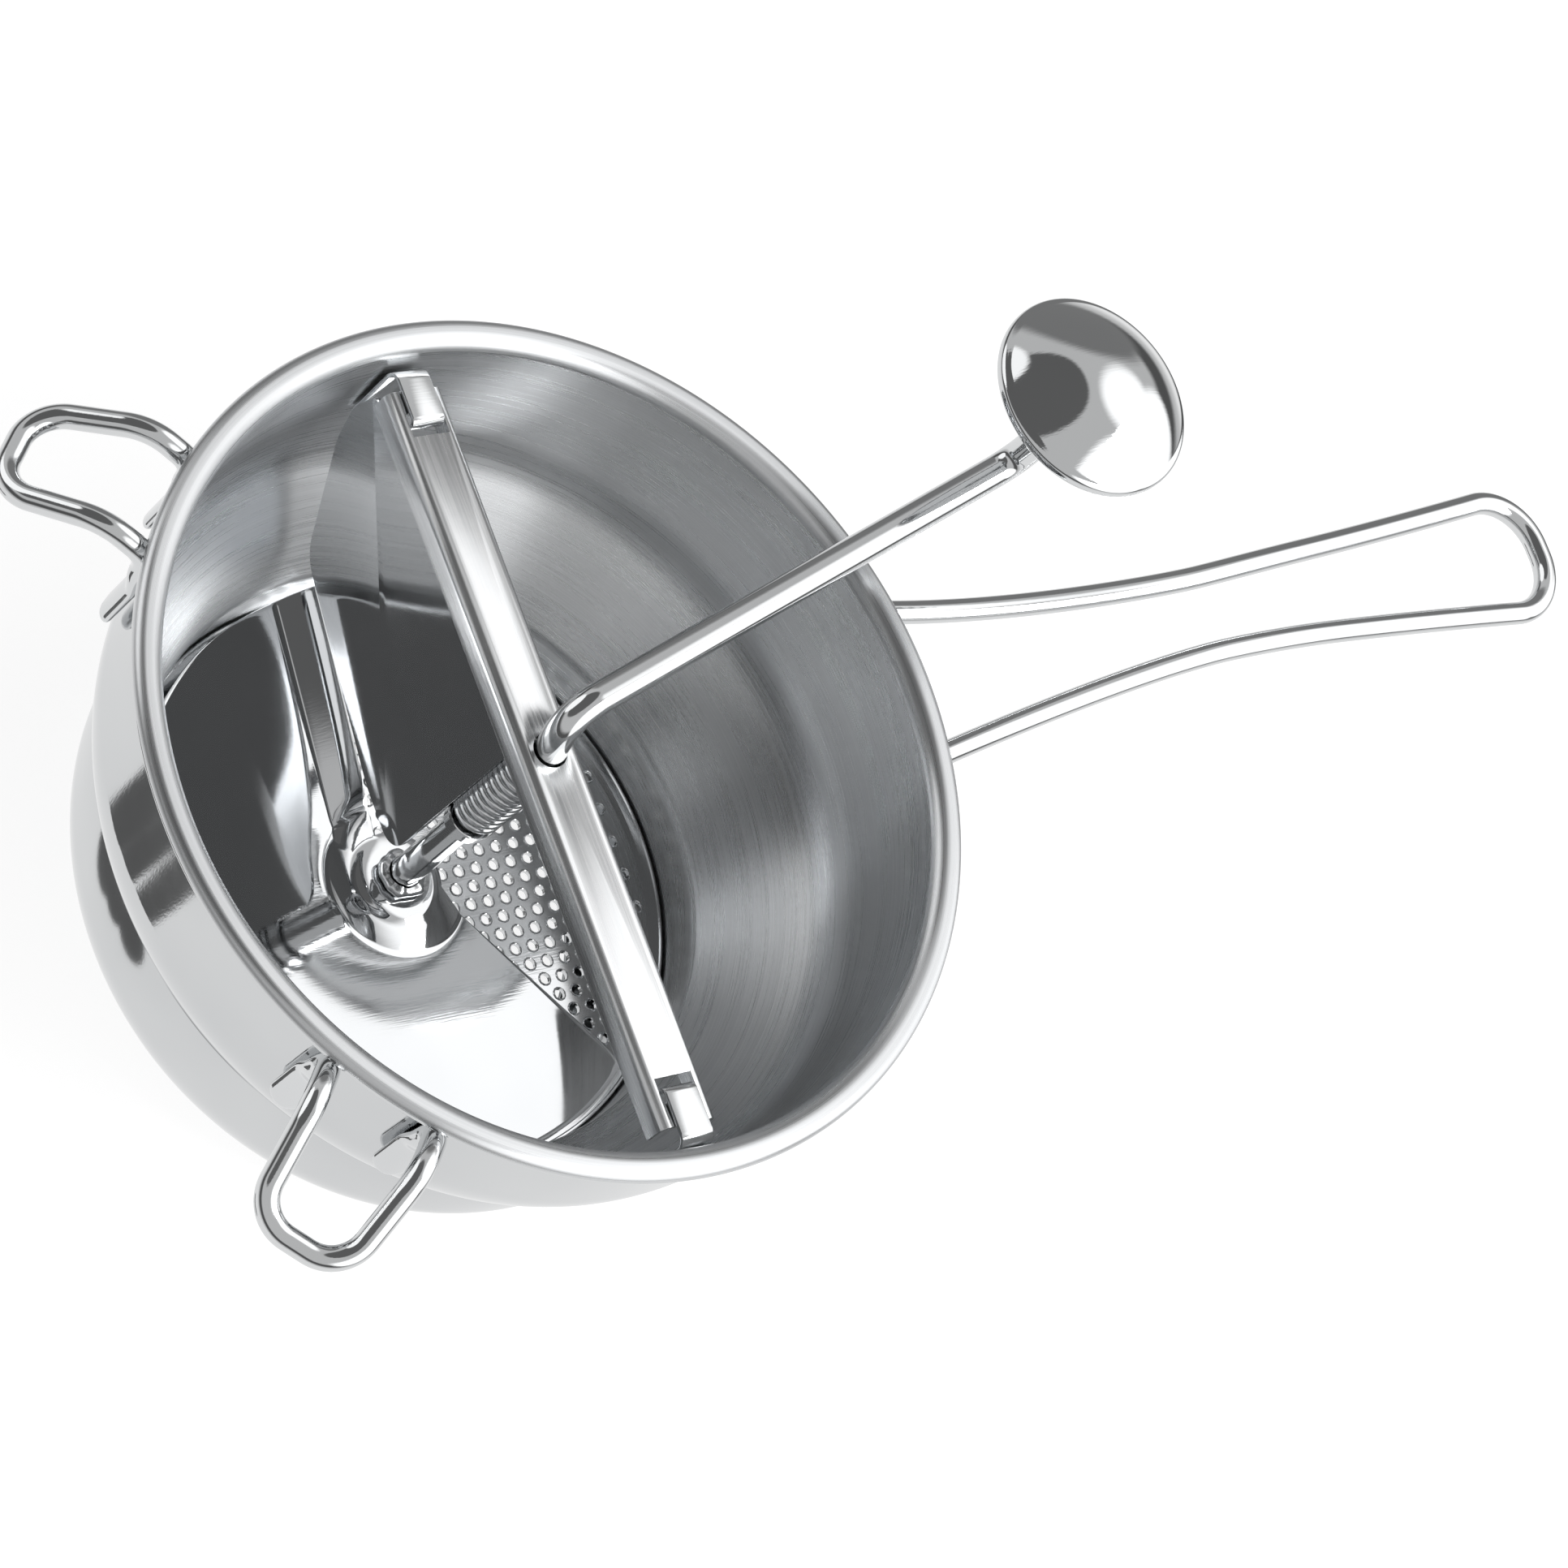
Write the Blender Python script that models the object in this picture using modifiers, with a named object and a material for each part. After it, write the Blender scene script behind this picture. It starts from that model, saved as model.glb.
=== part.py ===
"""Rotary food mill: a spun steel bowl with a drop-in perforated disc, a sloping blade on a bent
crank rod, a sprung crossbar with a baffle, a long wire handle and two wire pot hooks.

Metres, +Z up. The bowl's axis is the parent empty's Z axis, the long handle points along +X and
the crossbar lies along Y. The mill stands on its lower skirt at Z = 0.
"""
import math

import bmesh
import bpy
from mathutils import Matrix, Vector

# ---- driving dimensions ---------------------------------------------------------------------
GAP = 0.0003                # between pieces that touch
SHEET = 0.0010              # sheet of the bowl, the skirt and the blade
BOWL_HEIGHT = 0.1050        # from the foot to the rim

RIM_RADIUS = 0.1100
LIP_WIDTH = 0.0080
LIP_DROP = 0.0035
WALL_TAPER = 0.0010         # how much narrower the wall is at its foot than at the lip
WALL_SHARE = 3 / 7          # rim to the shoulder, as a share of the height
COLLAR_INSET = 0.0340       # how much less the collar's inside radius is than the rim's
COLLAR_SHARE = 5 / 7        # rim to the top of the collar, as a share of the height
LEDGE_HEIGHT = 0.0117       # foot to the ledge that carries the disc
LEDGE_WIDTH = 0.0055
SHOULDER_ROUND = 0.0260

SKIRT_SHARE = 41 / 70       # rim to the top edge of the skirt, as a share of the height
SKIRT_TAPER = 0.0045
FOOT_ROUND = 0.0240
FOOT_WIDTH = 0.0290         # how far the foot turns in from the skirt's wall

DISC_SHEET = 0.0010
DISC_RIM = 0.0030
DISC_CLEARANCE = 0.0006
HOLE_PITCH = 0.0120
HOLE_RADIUS = 0.0021
HOLE_MARGIN = 0.0060        # from the last holes to the disc's rim

ROD = 0.0080                # crank rod diameter
SHAFT_CLEARANCE = 0.0005
HUB_HEIGHT = 0.0040         # blade hub above the disc
ELBOW_RISE = 0.0120         # from the crossbar's top to the crank's bend
ELBOW_ROUND = 0.0110
ELBOW_SIDE = 0.0035         # how far the arm's line passes beside the shaft
CRANK_ANGLE = 16.5          # degrees from +X at rest, to the knob's axis
CRANK_RISE = 10.2           # degrees
CRANK_REACH = 0.1395        # bowl axis to knob axis
KNOB_ROUND = 0.0075

BAR_DEPTH = 0.0080          # rim to the top of the crossbar
BAR_FLANGE = 0.0080
BAR_SHEET = 0.0012
BAR_END_CLEARANCE = 0.0060  # bar end to bowl wall
BAR_ROUND = 0.0026
BAR_TRAVEL = 0.0025         # how far the crossbar presses down
BLADE_LIFT = 0.0025         # how far the blade lifts against the spring
BAFFLE_GAP = 0.0039         # left between the baffle and the weld with both travels used up
BAFFLE_WALL = 0.0024        # baffle edge to the bowl's wall
BAFFLE_SHOULDER = 0.0050    # baffle edge to the shoulder
BAFFLE_EDGE = 0.0025        # bowl axis to the baffle's inner edge
BAFFLE_SLANT = 0.0115       # how much higher the lower edge is at its outer end

SLOT_LENGTH = 0.0060
SLOT_WIDTH = 0.0104
SLOT_INSET = 0.0090         # bar end to slot centre
STRAP_SHEET = 0.0012
STRAP_WIDTH = 0.0090
STRAP_SHARE = 2 / 3         # rim to the foot of a strap, as a share of the wall's depth
STRAP_DIP = 0.0020          # how far the tip reaches below the bar's top

SPRING_WIRE = 0.0020
SPRING_TURNS = 13
SPRING_LENGTH = 0.0360
WASHER = 0.0010
COLLAR_STOP = 0.0040

BLADE_LEAD = 90.0           # degrees from +X; the leading edge's direction
BLADE_TRAIL = 303.6         # the trailing edge's direction
LEAD_OFFSET = 0.0025        # from the bowl's axis to the line of the leading edge
TRAIL_OFFSET = 0.0070       # from the bowl's axis to the line of the trailing edge
BLADE_RISE = 0.0180         # height of the leading edge above the disc at the rim
BLADE_STRIP = 0.0105        # width of the bent strip along the leading edge
STRIP_RISE = 0.0040
BLADE_CLEARANCE = 0.0010
HUB_RADIUS = 0.0120
WELD_HEIGHT = 0.0030
WELD_WIDTH = 0.0026

KNOB_RADIUS = 0.0262
KNOB_DOME = 0.0115
KNOB_SKIRT = 0.0030
KNOB_SHEET = 0.0010
KNOB_LIFT = 0.0368          # crank's end corner to the knob's rim
KNOB_DISH = 0.0030          # how far the knob's base hangs below its rim
BUSH_WALL = 0.0018
BUSH_FLANGE = 0.0040

WIRE = 0.0060
PAD_WIDTH = 0.0088
PAD_HEIGHT = 0.0215
PAD_SHEET = 0.0034
LUG_DROP = 0.0080           # rim to the wires where they pass under the lip
LEG_LENGTH = 0.0065
HOOK_ANGLE = 136.2
HOOK_SPREAD = 0.0145        # half the distance between a hook's two legs
HOOK_OUT = 0.0320           # rim to the corners of a hook's outer side
HOOK_CREST = 0.0140         # from the legs out to the highest point of a hook
HOOK_RISE = 0.0030
HOOK_DROP = 0.0125
HOOK_END = 0.0120           # half the distance between a hook's two outer corners
HANDLE_REACH = 0.3151
HANDLE_RISE = 0.0153
HANDLE_RISE_SHARE = 0.62    # share of the handle's length in which it rises
HANDLE_ROOT = 0.0203        # half widths of the long handle
HANDLE_WAIST = 0.0102
HANDLE_FLARE = 0.0172
WAIST_SHARE = 0.445
HANDLE_TIP_ROUND = 0.0145
WIRE_ROUND = 0.0060

TURN_STEPS = 48

# ---- derived places -------------------------------------------------------------------------
RIM_Z = BOWL_HEIGHT
WALL_DEPTH = WALL_SHARE * BOWL_HEIGHT
STRAP_LEG = STRAP_SHARE * WALL_DEPTH
COLLAR_DEPTH = COLLAR_SHARE * BOWL_HEIGHT
LEDGE_DEPTH = BOWL_HEIGHT - LEDGE_HEIGHT
SKIRT_DEPTH = SKIRT_SHARE * BOWL_HEIGHT
COLLAR_RADIUS = RIM_RADIUS - COLLAR_INSET
AXIS_X = (RIM_RADIUS - HANDLE_REACH) / 2
HOOK_REACH = RIM_RADIUS + HOOK_OUT
WALL_TOP = RIM_RADIUS - LIP_WIDTH
WALL_FOOT = WALL_TOP - WALL_TAPER
SHOULDER_SLOPE = (WALL_FOOT - COLLAR_RADIUS) / (COLLAR_DEPTH - WALL_DEPTH)
BAR_TOP = RIM_Z - BAR_DEPTH
BAR_WIDTH = 2 * (ROD / 2 + SHAFT_CLEARANCE + SPRING_WIRE + GAP + BAR_SHEET)
BAR_HALF = WALL_FOOT - BAR_END_CLEARANCE
DISC_BOTTOM = RIM_Z - LEDGE_DEPTH + GAP
DISC_TOP = DISC_BOTTOM + DISC_SHEET
DISC_RADIUS = COLLAR_RADIUS - DISC_CLEARANCE
HUB_Z = DISC_TOP + HUB_HEIGHT
WELD_Z = HUB_Z + SHEET + 3 * GAP
BAFFLE_FOOT_Z = WELD_Z + WELD_HEIGHT + BAR_TRAVEL + BLADE_LIFT + BAFFLE_GAP
SHAFT_FOOT = DISC_TOP + 3 * GAP
SPRING_TOP = BAR_TOP - BAR_SHEET - 2 * GAP - WASHER
SPRING_FOOT = SPRING_TOP - SPRING_LENGTH
SPRING_RADIUS = ROD / 2 + SHAFT_CLEARANCE + SPRING_WIRE / 2
ELBOW_Z = BAR_TOP + ELBOW_RISE
CRANK_END_Z = ELBOW_Z + CRANK_REACH * math.tan(math.radians(CRANK_RISE))
KNOB_Z = CRANK_END_Z + KNOB_LIFT
BLADE_RADIUS = COLLAR_RADIUS - BLADE_CLEARANCE - DISC_CLEARANCE - DISC_SHEET


def wall_radius(z):
    """Inside radius of the bowl's wall at height z."""
    return WALL_TOP - WALL_TAPER * (RIM_Z - z) / WALL_DEPTH


def shoulder_radius(z):
    """Radius of the shoulder's sloping inner face at height z."""
    return WALL_FOOT - SHOULDER_SLOPE * (RIM_Z - WALL_DEPTH - z)


# ---- scene and materials --------------------------------------------------------------------
def empty_scene():
    for obj in list(bpy.data.objects):
        bpy.data.objects.remove(obj, do_unlink=True)


def steel(name, colour, roughness):
    finish = bpy.data.materials.new(name)
    finish.use_nodes = True
    shader = finish.node_tree.nodes["Principled BSDF"]
    shader.inputs["Base Color"].default_value = (*colour, 1.0)
    shader.inputs["Metallic"].default_value = 1.0
    shader.inputs["Roughness"].default_value = roughness
    return finish


def new_collection(name):
    group = bpy.data.collections.new(name)
    bpy.context.scene.collection.children.link(group)
    return group


empty_scene()
MILL = new_collection("food_mill")
CUTTERS = new_collection("cutters")
POLISHED = steel("polished_steel", (0.80, 0.81, 0.82), 0.08)
BRUSHED = steel("brushed_steel", (0.72, 0.73, 0.74), 0.28)
SPRING_STEEL = steel("spring_steel", (0.62, 0.63, 0.65), 0.22)


def pivot(name, place, parent=None):
    mark = bpy.data.objects.new(name, None)
    mark.location = place
    mark.parent = parent
    MILL.objects.link(mark)
    return mark


BOWL_AXIS = pivot("bowl_axis", (AXIS_X, 0, 0))
CRANK_TURN = math.radians(CRANK_ANGLE)
KNOB_AXIS = pivot(
    "knob_axis",
    (CRANK_REACH * math.cos(CRANK_TURN), CRANK_REACH * math.sin(CRANK_TURN), KNOB_Z),
    BOWL_AXIS,
)


def place(obj, finish, parent=BOWL_AXIS, group=MILL):
    if finish:
        obj.data.materials.append(finish)
    obj.parent = parent
    group.objects.link(obj)
    return obj


# ---- shape helpers --------------------------------------------------------------------------
def rounded(corners, radii, turn_step=18.0):
    """Polyline through the corners, with an arc of the given radius at each inner corner."""
    corners = [Vector(c) for c in corners]
    points = [corners[0]]
    for before, corner, after, radius in zip(corners, corners[1:], corners[2:], radii):
        back = (before - corner).normalized()
        ahead = (after - corner).normalized()
        turn = math.pi - back.angle(ahead)
        if turn < 0.01 or radius == 0:
            points.append(corner)
            continue
        reach = radius * math.tan(turn / 2)
        centre = corner + (back + ahead).normalized() * radius / math.cos(turn / 2)
        first = corner + back * reach - centre
        last = corner + ahead * reach - centre
        axis = first.cross(last).normalized()
        steps = max(2, math.ceil(math.degrees(turn) / turn_step))
        for k in range(steps + 1):
            points.append(centre + Matrix.Rotation(turn * k / steps, 3, axis) @ first)
    points.append(corners[-1])
    return points


def profile(corners, radii, turn_step=18.0):
    """The same, for (radius, height) pairs."""
    line = rounded([(r, 0, z) for r, z in corners], radii, turn_step)
    return [(p.x, p.z) for p in line]


def band(path, near, far):
    """Closed loop round a sheet: the path offset by far and, coming back, by near.

    Offsets are to the left of the path, which is outwards where the path runs down."""
    normals = []
    for (r0, z0), (r1, z1) in zip(path, path[1:]):
        length = math.hypot(r1 - r0, z1 - z0)
        normals.append((-(z1 - z0) / length, (r1 - r0) / length))
    mitres = []
    for before, after in zip([normals[0]] + normals, normals + [normals[-1]]):
        nx, nz = before[0] + after[0], before[1] + after[1]
        scale = 2 / (nx * nx + nz * nz)
        mitres.append((nx * scale, nz * scale))
    outer = [(r + mx * far, z + mz * far) for (r, z), (mx, mz) in zip(path, mitres)]
    inner = [(r + mx * near, z + mz * near) for (r, z), (mx, mz) in zip(path, mitres)]
    return outer + inner[::-1]


def turned(name, loop, finish, closed=True, parent=BOWL_AXIS, steps=TURN_STEPS):
    """Solid of revolution about the parent's Z axis."""
    count = len(loop)
    last = count if closed else count - 1
    mesh = bpy.data.meshes.new(name)
    mesh.from_pydata(
        [(r, 0, z) for r, z in loop], [(i, (i + 1) % count) for i in range(last)], []
    )
    obj = place(bpy.data.objects.new(name, mesh), finish, parent)
    screw = obj.modifiers.new("turn", "SCREW")
    screw.steps = steps
    screw.render_steps = steps
    screw.use_merge_vertices = True
    screw.merge_threshold = 0.00001
    screw.use_smooth_shade = True
    return obj


def ring(name, inner, outer, low, high, finish, parent=BOWL_AXIS, steps=24):
    loop = [(outer, high), (outer, low), (inner, low), (inner, high)]
    return turned(name, loop, finish, parent=parent, steps=steps)


def wire(name, points, diameter, finish, resolution=2):
    """Round wire or rod along a polyline."""
    curve = bpy.data.curves.new(name, "CURVE")
    curve.dimensions = "3D"
    curve.bevel_depth = diameter / 2
    curve.bevel_resolution = resolution
    curve.use_fill_caps = True
    spline = curve.splines.new("POLY")
    spline.points.add(len(points) - 1)
    for knot, point in zip(spline.points, points):
        knot.co = (*point, 1)
    return place(bpy.data.objects.new(name, curve), finish)


def plate(name, outline, thickness, finish, rotation, group=MILL):
    """Flat outline with a thickness, turned into a mesh with welded edges."""
    curve = bpy.data.curves.new(name, "CURVE")
    curve.dimensions = "2D"
    curve.fill_mode = "BOTH"
    curve.extrude = thickness / 2
    spline = curve.splines.new("POLY")
    spline.points.add(len(outline) - 1)
    for knot, (x, y) in zip(spline.points, outline):
        knot.co = (x, y, 0, 1)
    spline.use_cyclic_u = True
    sketch = bpy.data.objects.new(name + "_outline", curve)
    MILL.objects.link(sketch)
    seen = sketch.evaluated_get(bpy.context.evaluated_depsgraph_get())
    mesh = bpy.data.meshes.new_from_object(seen)
    bpy.data.objects.remove(sketch)
    welder = bmesh.new()
    welder.from_mesh(mesh)
    bmesh.ops.remove_doubles(welder, verts=welder.verts, dist=0.000001)
    bmesh.ops.recalc_face_normals(welder, faces=welder.faces)
    welder.to_mesh(mesh)
    welder.free()
    mesh.name = name
    obj = place(bpy.data.objects.new(name, mesh), finish, group=group)
    obj.rotation_euler = rotation
    return obj


def cutter(name, mesh_maker, location):
    """Hidden solid that cuts another one."""
    shape = bmesh.new()
    mesh_maker(shape)
    mesh = bpy.data.meshes.new(name)
    shape.to_mesh(mesh)
    shape.free()
    obj = place(bpy.data.objects.new(name, mesh), None, group=CUTTERS)
    obj.location = location
    obj.hide_render = True
    obj.display_type = "WIRE"
    return obj


def boolean(obj, other, operation):
    step = obj.modifiers.new(other.name, "BOOLEAN")
    step.operation = operation
    step.object = other
    step.solver = "EXACT"


def round_cutter(radius, height, segments):
    def make(shape):
        bmesh.ops.create_cone(
            shape, cap_ends=True, segments=segments, radius1=radius, radius2=radius, depth=height
        )
    return make


def box_cutter(x, y, z):
    def make(shape):
        bmesh.ops.create_cube(shape, size=1.0, matrix=Matrix.Diagonal((x, y, z, 1.0)))
    return make


# ---- bowl, skirt and disc -------------------------------------------------------------------
def bowl():
    corners = [
        (RIM_RADIUS - 0.0004, RIM_Z - LIP_DROP),
        (RIM_RADIUS, RIM_Z),
        (WALL_TOP, RIM_Z),
        (WALL_FOOT, RIM_Z - WALL_DEPTH),
        (COLLAR_RADIUS, RIM_Z - COLLAR_DEPTH),
        (COLLAR_RADIUS, RIM_Z - LEDGE_DEPTH),
        (COLLAR_RADIUS - LEDGE_WIDTH, RIM_Z - LEDGE_DEPTH),
    ]
    path = profile(corners, [0.0026, 0.0040, SHOULDER_ROUND, 0.0050, 0.0012], 26.0)
    turned("bowl", band(path, 0, SHEET), BRUSHED)


def lower_skirt():
    top_z = RIM_Z - SKIRT_DEPTH
    outer_face = shoulder_radius(top_z) + SHEET * math.hypot(1, SHOULDER_SLOPE)
    top = outer_face + 2 * GAP
    corners = [
        (top, top_z),
        (top - SKIRT_TAPER, SHEET),
        (top - SKIRT_TAPER - FOOT_WIDTH, SHEET),
    ]
    path = profile(corners, [FOOT_ROUND], 18.0)
    turned("lower_skirt", band(path, 0, SHEET), POLISHED)


def hole_places():
    """Hexagonal grid of hole centres between the hub and the disc's margin."""
    reach = DISC_RADIUS - HOLE_MARGIN
    rows = math.ceil(reach / HOLE_PITCH)
    row_step = HOLE_PITCH * math.sqrt(3) / 2
    for row in range(-rows - 1, rows + 2):
        shift = HOLE_PITCH / 2 if row % 2 else 0
        for column in range(-rows - 1, rows + 2):
            x, y = column * HOLE_PITCH + shift, row * row_step
            if HUB_RADIUS * 0.8 < math.hypot(x, y) < reach:
                yield x, y


def perforated_disc():
    edge = DISC_RADIUS
    turn_up = DISC_SHEET
    loop = [
        (0, DISC_TOP),
        (edge - turn_up, DISC_TOP),
        (edge - turn_up, DISC_TOP + DISC_RIM),
        (edge, DISC_TOP + DISC_RIM),
        (edge, DISC_BOTTOM),
        (0, DISC_BOTTOM),
    ]
    disc = turned("perforated_disc", loop, POLISHED, closed=False)

    def holes(shape):
        for x, y in hole_places():
            bmesh.ops.create_cone(
                shape,
                cap_ends=True,
                segments=6,
                radius1=HOLE_RADIUS,
                radius2=HOLE_RADIUS,
                depth=DISC_SHEET * 4,
                matrix=Matrix.Translation((x, y, 0)),
            )

    boolean(disc, cutter("disc_holes", holes, (0, 0, DISC_TOP - DISC_SHEET / 2)), "DIFFERENCE")


# ---- crossbar and its straps ----------------------------------------------------------------
UPRIGHT_ALONG_Y = (math.pi / 2, 0, math.pi / 2)


def baffle_outline():
    """(y, z) outline of the baffle, from the bar out along the bowl and back past the shaft."""
    under_bar = BAR_TOP - BAR_FLANGE * 0.6
    bend_z = RIM_Z - WALL_DEPTH + SHOULDER_ROUND * 0.42
    corner_z = BAFFLE_FOOT_Z + BAFFLE_SLANT
    corners = [
        (BAFFLE_EDGE, 0, under_bar),
        (wall_radius(bend_z) - 2 * BAFFLE_WALL, 0, under_bar),
        (wall_radius(bend_z) - BAFFLE_WALL, 0, RIM_Z - WALL_DEPTH / 2),
        (wall_radius(bend_z) - BAFFLE_WALL - BAFFLE_SHOULDER * 0.6, 0, bend_z),
        (shoulder_radius(corner_z) - BAFFLE_SHOULDER * 1.6, 0, corner_z - 0.001),
        (HUB_RADIUS * 1.7, 0, BAFFLE_FOOT_Z),
        (BAFFLE_EDGE, 0, BAFFLE_FOOT_Z),
        (BAFFLE_EDGE, 0, under_bar),
    ]
    rounding = [0.002, 0.012, 0.020, 0.012, 0.040, 0.006]
    line = rounded(corners, rounding, 15.0)[:-1]
    return [(p.x, p.z) for p in line]


def crossbar():
    half = BAR_WIDTH / 2
    section = profile(
        [
            (-half, BAR_TOP - BAR_FLANGE),
            (-half, BAR_TOP),
            (half, BAR_TOP),
            (half, BAR_TOP - BAR_FLANGE),
        ],
        [BAR_ROUND, BAR_ROUND],
    )
    bar = plate(
        "crossbar", band(section, 0, -BAR_SHEET), 2 * BAR_HALF, BRUSHED, (math.pi / 2, 0, 0)
    )
    baffle = plate(
        "baffle", baffle_outline(), BAR_SHEET, POLISHED, UPRIGHT_ALONG_Y, group=CUTTERS
    )
    baffle.location = (-half + BAR_SHEET / 2, 0, 0)
    baffle.hide_render = True
    baffle.display_type = "WIRE"
    boolean(bar, baffle, "UNION")
    bore = cutter(
        "rod_hole", round_cutter(ROD / 2 + SHAFT_CLEARANCE, 3 * BAR_SHEET, 24), (0, 0, BAR_TOP)
    )
    boolean(bar, bore, "DIFFERENCE")
    for side, label in ((1, "far"), (-1, "near")):
        slot = cutter(
            "slot_" + label,
            box_cutter(SLOT_WIDTH, SLOT_LENGTH, 3 * BAR_SHEET),
            (0, side * (BAR_HALF - SLOT_INSET), BAR_TOP),
        )
        boolean(bar, slot, "DIFFERENCE")


def lug_straps():
    foot_z = RIM_Z - STRAP_LEG
    leg = wall_radius(foot_z) - 2 * GAP - STRAP_SHEET / 2
    over = BAR_TOP + GAP + STRAP_SHEET / 2
    tip = BAR_HALF - SLOT_INSET
    path = profile(
        [(leg, foot_z), (leg, over), (tip, over), (tip, BAR_TOP - STRAP_DIP)], [0.003, 0.0015]
    )
    loop = band(path, -STRAP_SHEET / 2, STRAP_SHEET / 2)
    for side, label in ((1, "far"), (-1, "near")):
        plate(
            "lug_strap_" + label,
            loop,
            STRAP_WIDTH,
            POLISHED,
            (math.pi / 2, 0, side * math.pi / 2),
        )


# ---- crank, spring and blade ----------------------------------------------------------------
def crank_rod():
    """Shaft, a short sideways lean above the crossbar, the rising arm and the knob's pin."""
    turn = Matrix.Rotation(CRANK_TURN, 3, "Z")
    elbow = turn @ Vector((0, ELBOW_SIDE, ELBOW_Z))
    corner = turn @ Vector((CRANK_REACH, 0, CRANK_END_Z))
    corners = [
        (0, 0, SHAFT_FOOT),
        (0, 0, BAR_TOP + 2 * GAP),
        elbow,
        corner,
        (corner.x, corner.y, KNOB_Z + KNOB_DOME / 2 - GAP),
    ]
    radii = [ELBOW_ROUND / 2, ELBOW_ROUND, KNOB_ROUND]
    wire("crank_rod", rounded(corners, radii, 12.0), ROD, POLISHED, 4)


def spring():
    points_per_turn = 10
    count = SPRING_TURNS * points_per_turn
    low = SPRING_FOOT + GAP + SPRING_WIRE / 2
    high = SPRING_TOP - GAP - SPRING_WIRE / 2
    points = []
    for k in range(count + 1):
        angle = 2 * math.pi * k / points_per_turn
        points.append(
            (
                SPRING_RADIUS * math.cos(angle),
                SPRING_RADIUS * math.sin(angle),
                low + (high - low) * k / count,
            )
        )
    wire("spring", points, SPRING_WIRE, SPRING_STEEL)


def washers_and_stop():
    inner = ROD / 2 + GAP
    outer = SPRING_RADIUS + SPRING_WIRE / 2
    ring("spring_washer_upper", inner, outer, SPRING_TOP, SPRING_TOP + WASHER, POLISHED)
    ring(
        "spring_washer_lower", inner, outer, SPRING_FOOT - WASHER, SPRING_FOOT, POLISHED
    )
    stop_top = SPRING_FOOT - WASHER - GAP
    ring("stop_collar", inner, outer - 0.001, stop_top - COLLAR_STOP, stop_top, POLISHED)


def blade_height(radius, travel, strip):
    """Height of the blade's underside.

    travel runs from 0 at the trailing edge to 1 at the crease of the leading strip, strip from
    0 at the crease to 1 at the leading edge. The hub is a low cone round the shaft."""
    out = max(0.0, (radius - HUB_RADIUS) / (BLADE_RADIUS - HUB_RADIUS))
    cone = max(0.0, 1 - (radius - ROD / 2) / (1.6 * HUB_RADIUS - ROD / 2))
    ramp = (BLADE_RISE - STRIP_RISE) * out**0.8 * travel**1.15
    lip = STRIP_RISE * strip * min(1.0, max(0.0, radius / HUB_RADIUS - 0.8))
    return DISC_TOP + 2 * GAP + HUB_HEIGHT * min(1.0, 1.6 * cone) + ramp + lip


def edge_angle(direction, offset, radius):
    """Direction, at this radius, of a straight edge that passes the axis at the offset."""
    return math.radians(direction) + math.asin(offset / max(radius, 1.3 * offset, HUB_RADIUS))


def blade():
    """Sector of sheet from the leading edge round to the trailing edge, with a full hub."""
    rows = 11
    columns = 24
    strip_columns = 2
    inner = ROD / 2 + SHAFT_CLEARANCE
    grid = []
    for j in range(strip_columns + columns + 1):
        line = []
        for i in range(rows + 1):
            radius = inner + (BLADE_RADIUS - inner) * (i / rows)
            lead = edge_angle(BLADE_LEAD, LEAD_OFFSET, radius)
            crease = edge_angle(BLADE_LEAD, LEAD_OFFSET + BLADE_STRIP, radius)
            trail = edge_angle(BLADE_TRAIL, TRAIL_OFFSET, radius)
            if j <= strip_columns:
                angle = lead + (crease - lead) * j / strip_columns
                height = blade_height(radius, 1.0, 1 - j / strip_columns)
            else:
                share = (j - strip_columns) / columns
                angle = crease + (trail - crease) * share
                height = blade_height(radius, 1 - share, 0.0)
            line.append((radius * math.cos(angle), radius * math.sin(angle), height))
        grid.append(line)
    hub_columns = 6
    hub_rows = max(1, round(rows * (HUB_RADIUS - inner) / (BLADE_RADIUS - inner)))
    shape = bmesh.new()
    verts = [[shape.verts.new(p) for p in line] for line in grid]
    for left, right in zip(verts, verts[1:]):
        for i in range(rows):
            shape.faces.new((left[i], left[i + 1], right[i + 1], right[i]))
    # the hub closes the ring from the trailing edge on to the leading edge
    previous = verts[-1]
    for j in range(1, hub_columns + 1):
        share = j / hub_columns
        if j == hub_columns:
            line = verts[0]
        else:
            line = []
            for i in range(hub_rows + 1):
                radius = inner + (BLADE_RADIUS - inner) * (i / rows)
                lead = edge_angle(BLADE_LEAD, LEAD_OFFSET, radius) + 2 * math.pi
                trail = edge_angle(BLADE_TRAIL, TRAIL_OFFSET, radius)
                angle = trail + (lead - trail) * share
                low, high = grid[-1][i][2], grid[0][i][2]
                line.append(
                    shape.verts.new(
                        (radius * math.cos(angle), radius * math.sin(angle),
                         low + (high - low) * share)
                    )
                )
        for i in range(hub_rows):
            shape.faces.new((previous[i], previous[i + 1], line[i + 1], line[i]))
        previous = line
    bmesh.ops.recalc_face_normals(shape, faces=shape.faces)
    if sum(face.normal.z for face in shape.faces) > 0:
        bmesh.ops.reverse_faces(shape, faces=shape.faces)
    mesh = bpy.data.meshes.new("blade")
    shape.to_mesh(mesh)
    shape.free()
    obj = place(bpy.data.objects.new("blade", mesh), POLISHED)
    wall = obj.modifiers.new("sheet", "SOLIDIFY")
    wall.thickness = SHEET
    wall.offset = -1.0


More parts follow.
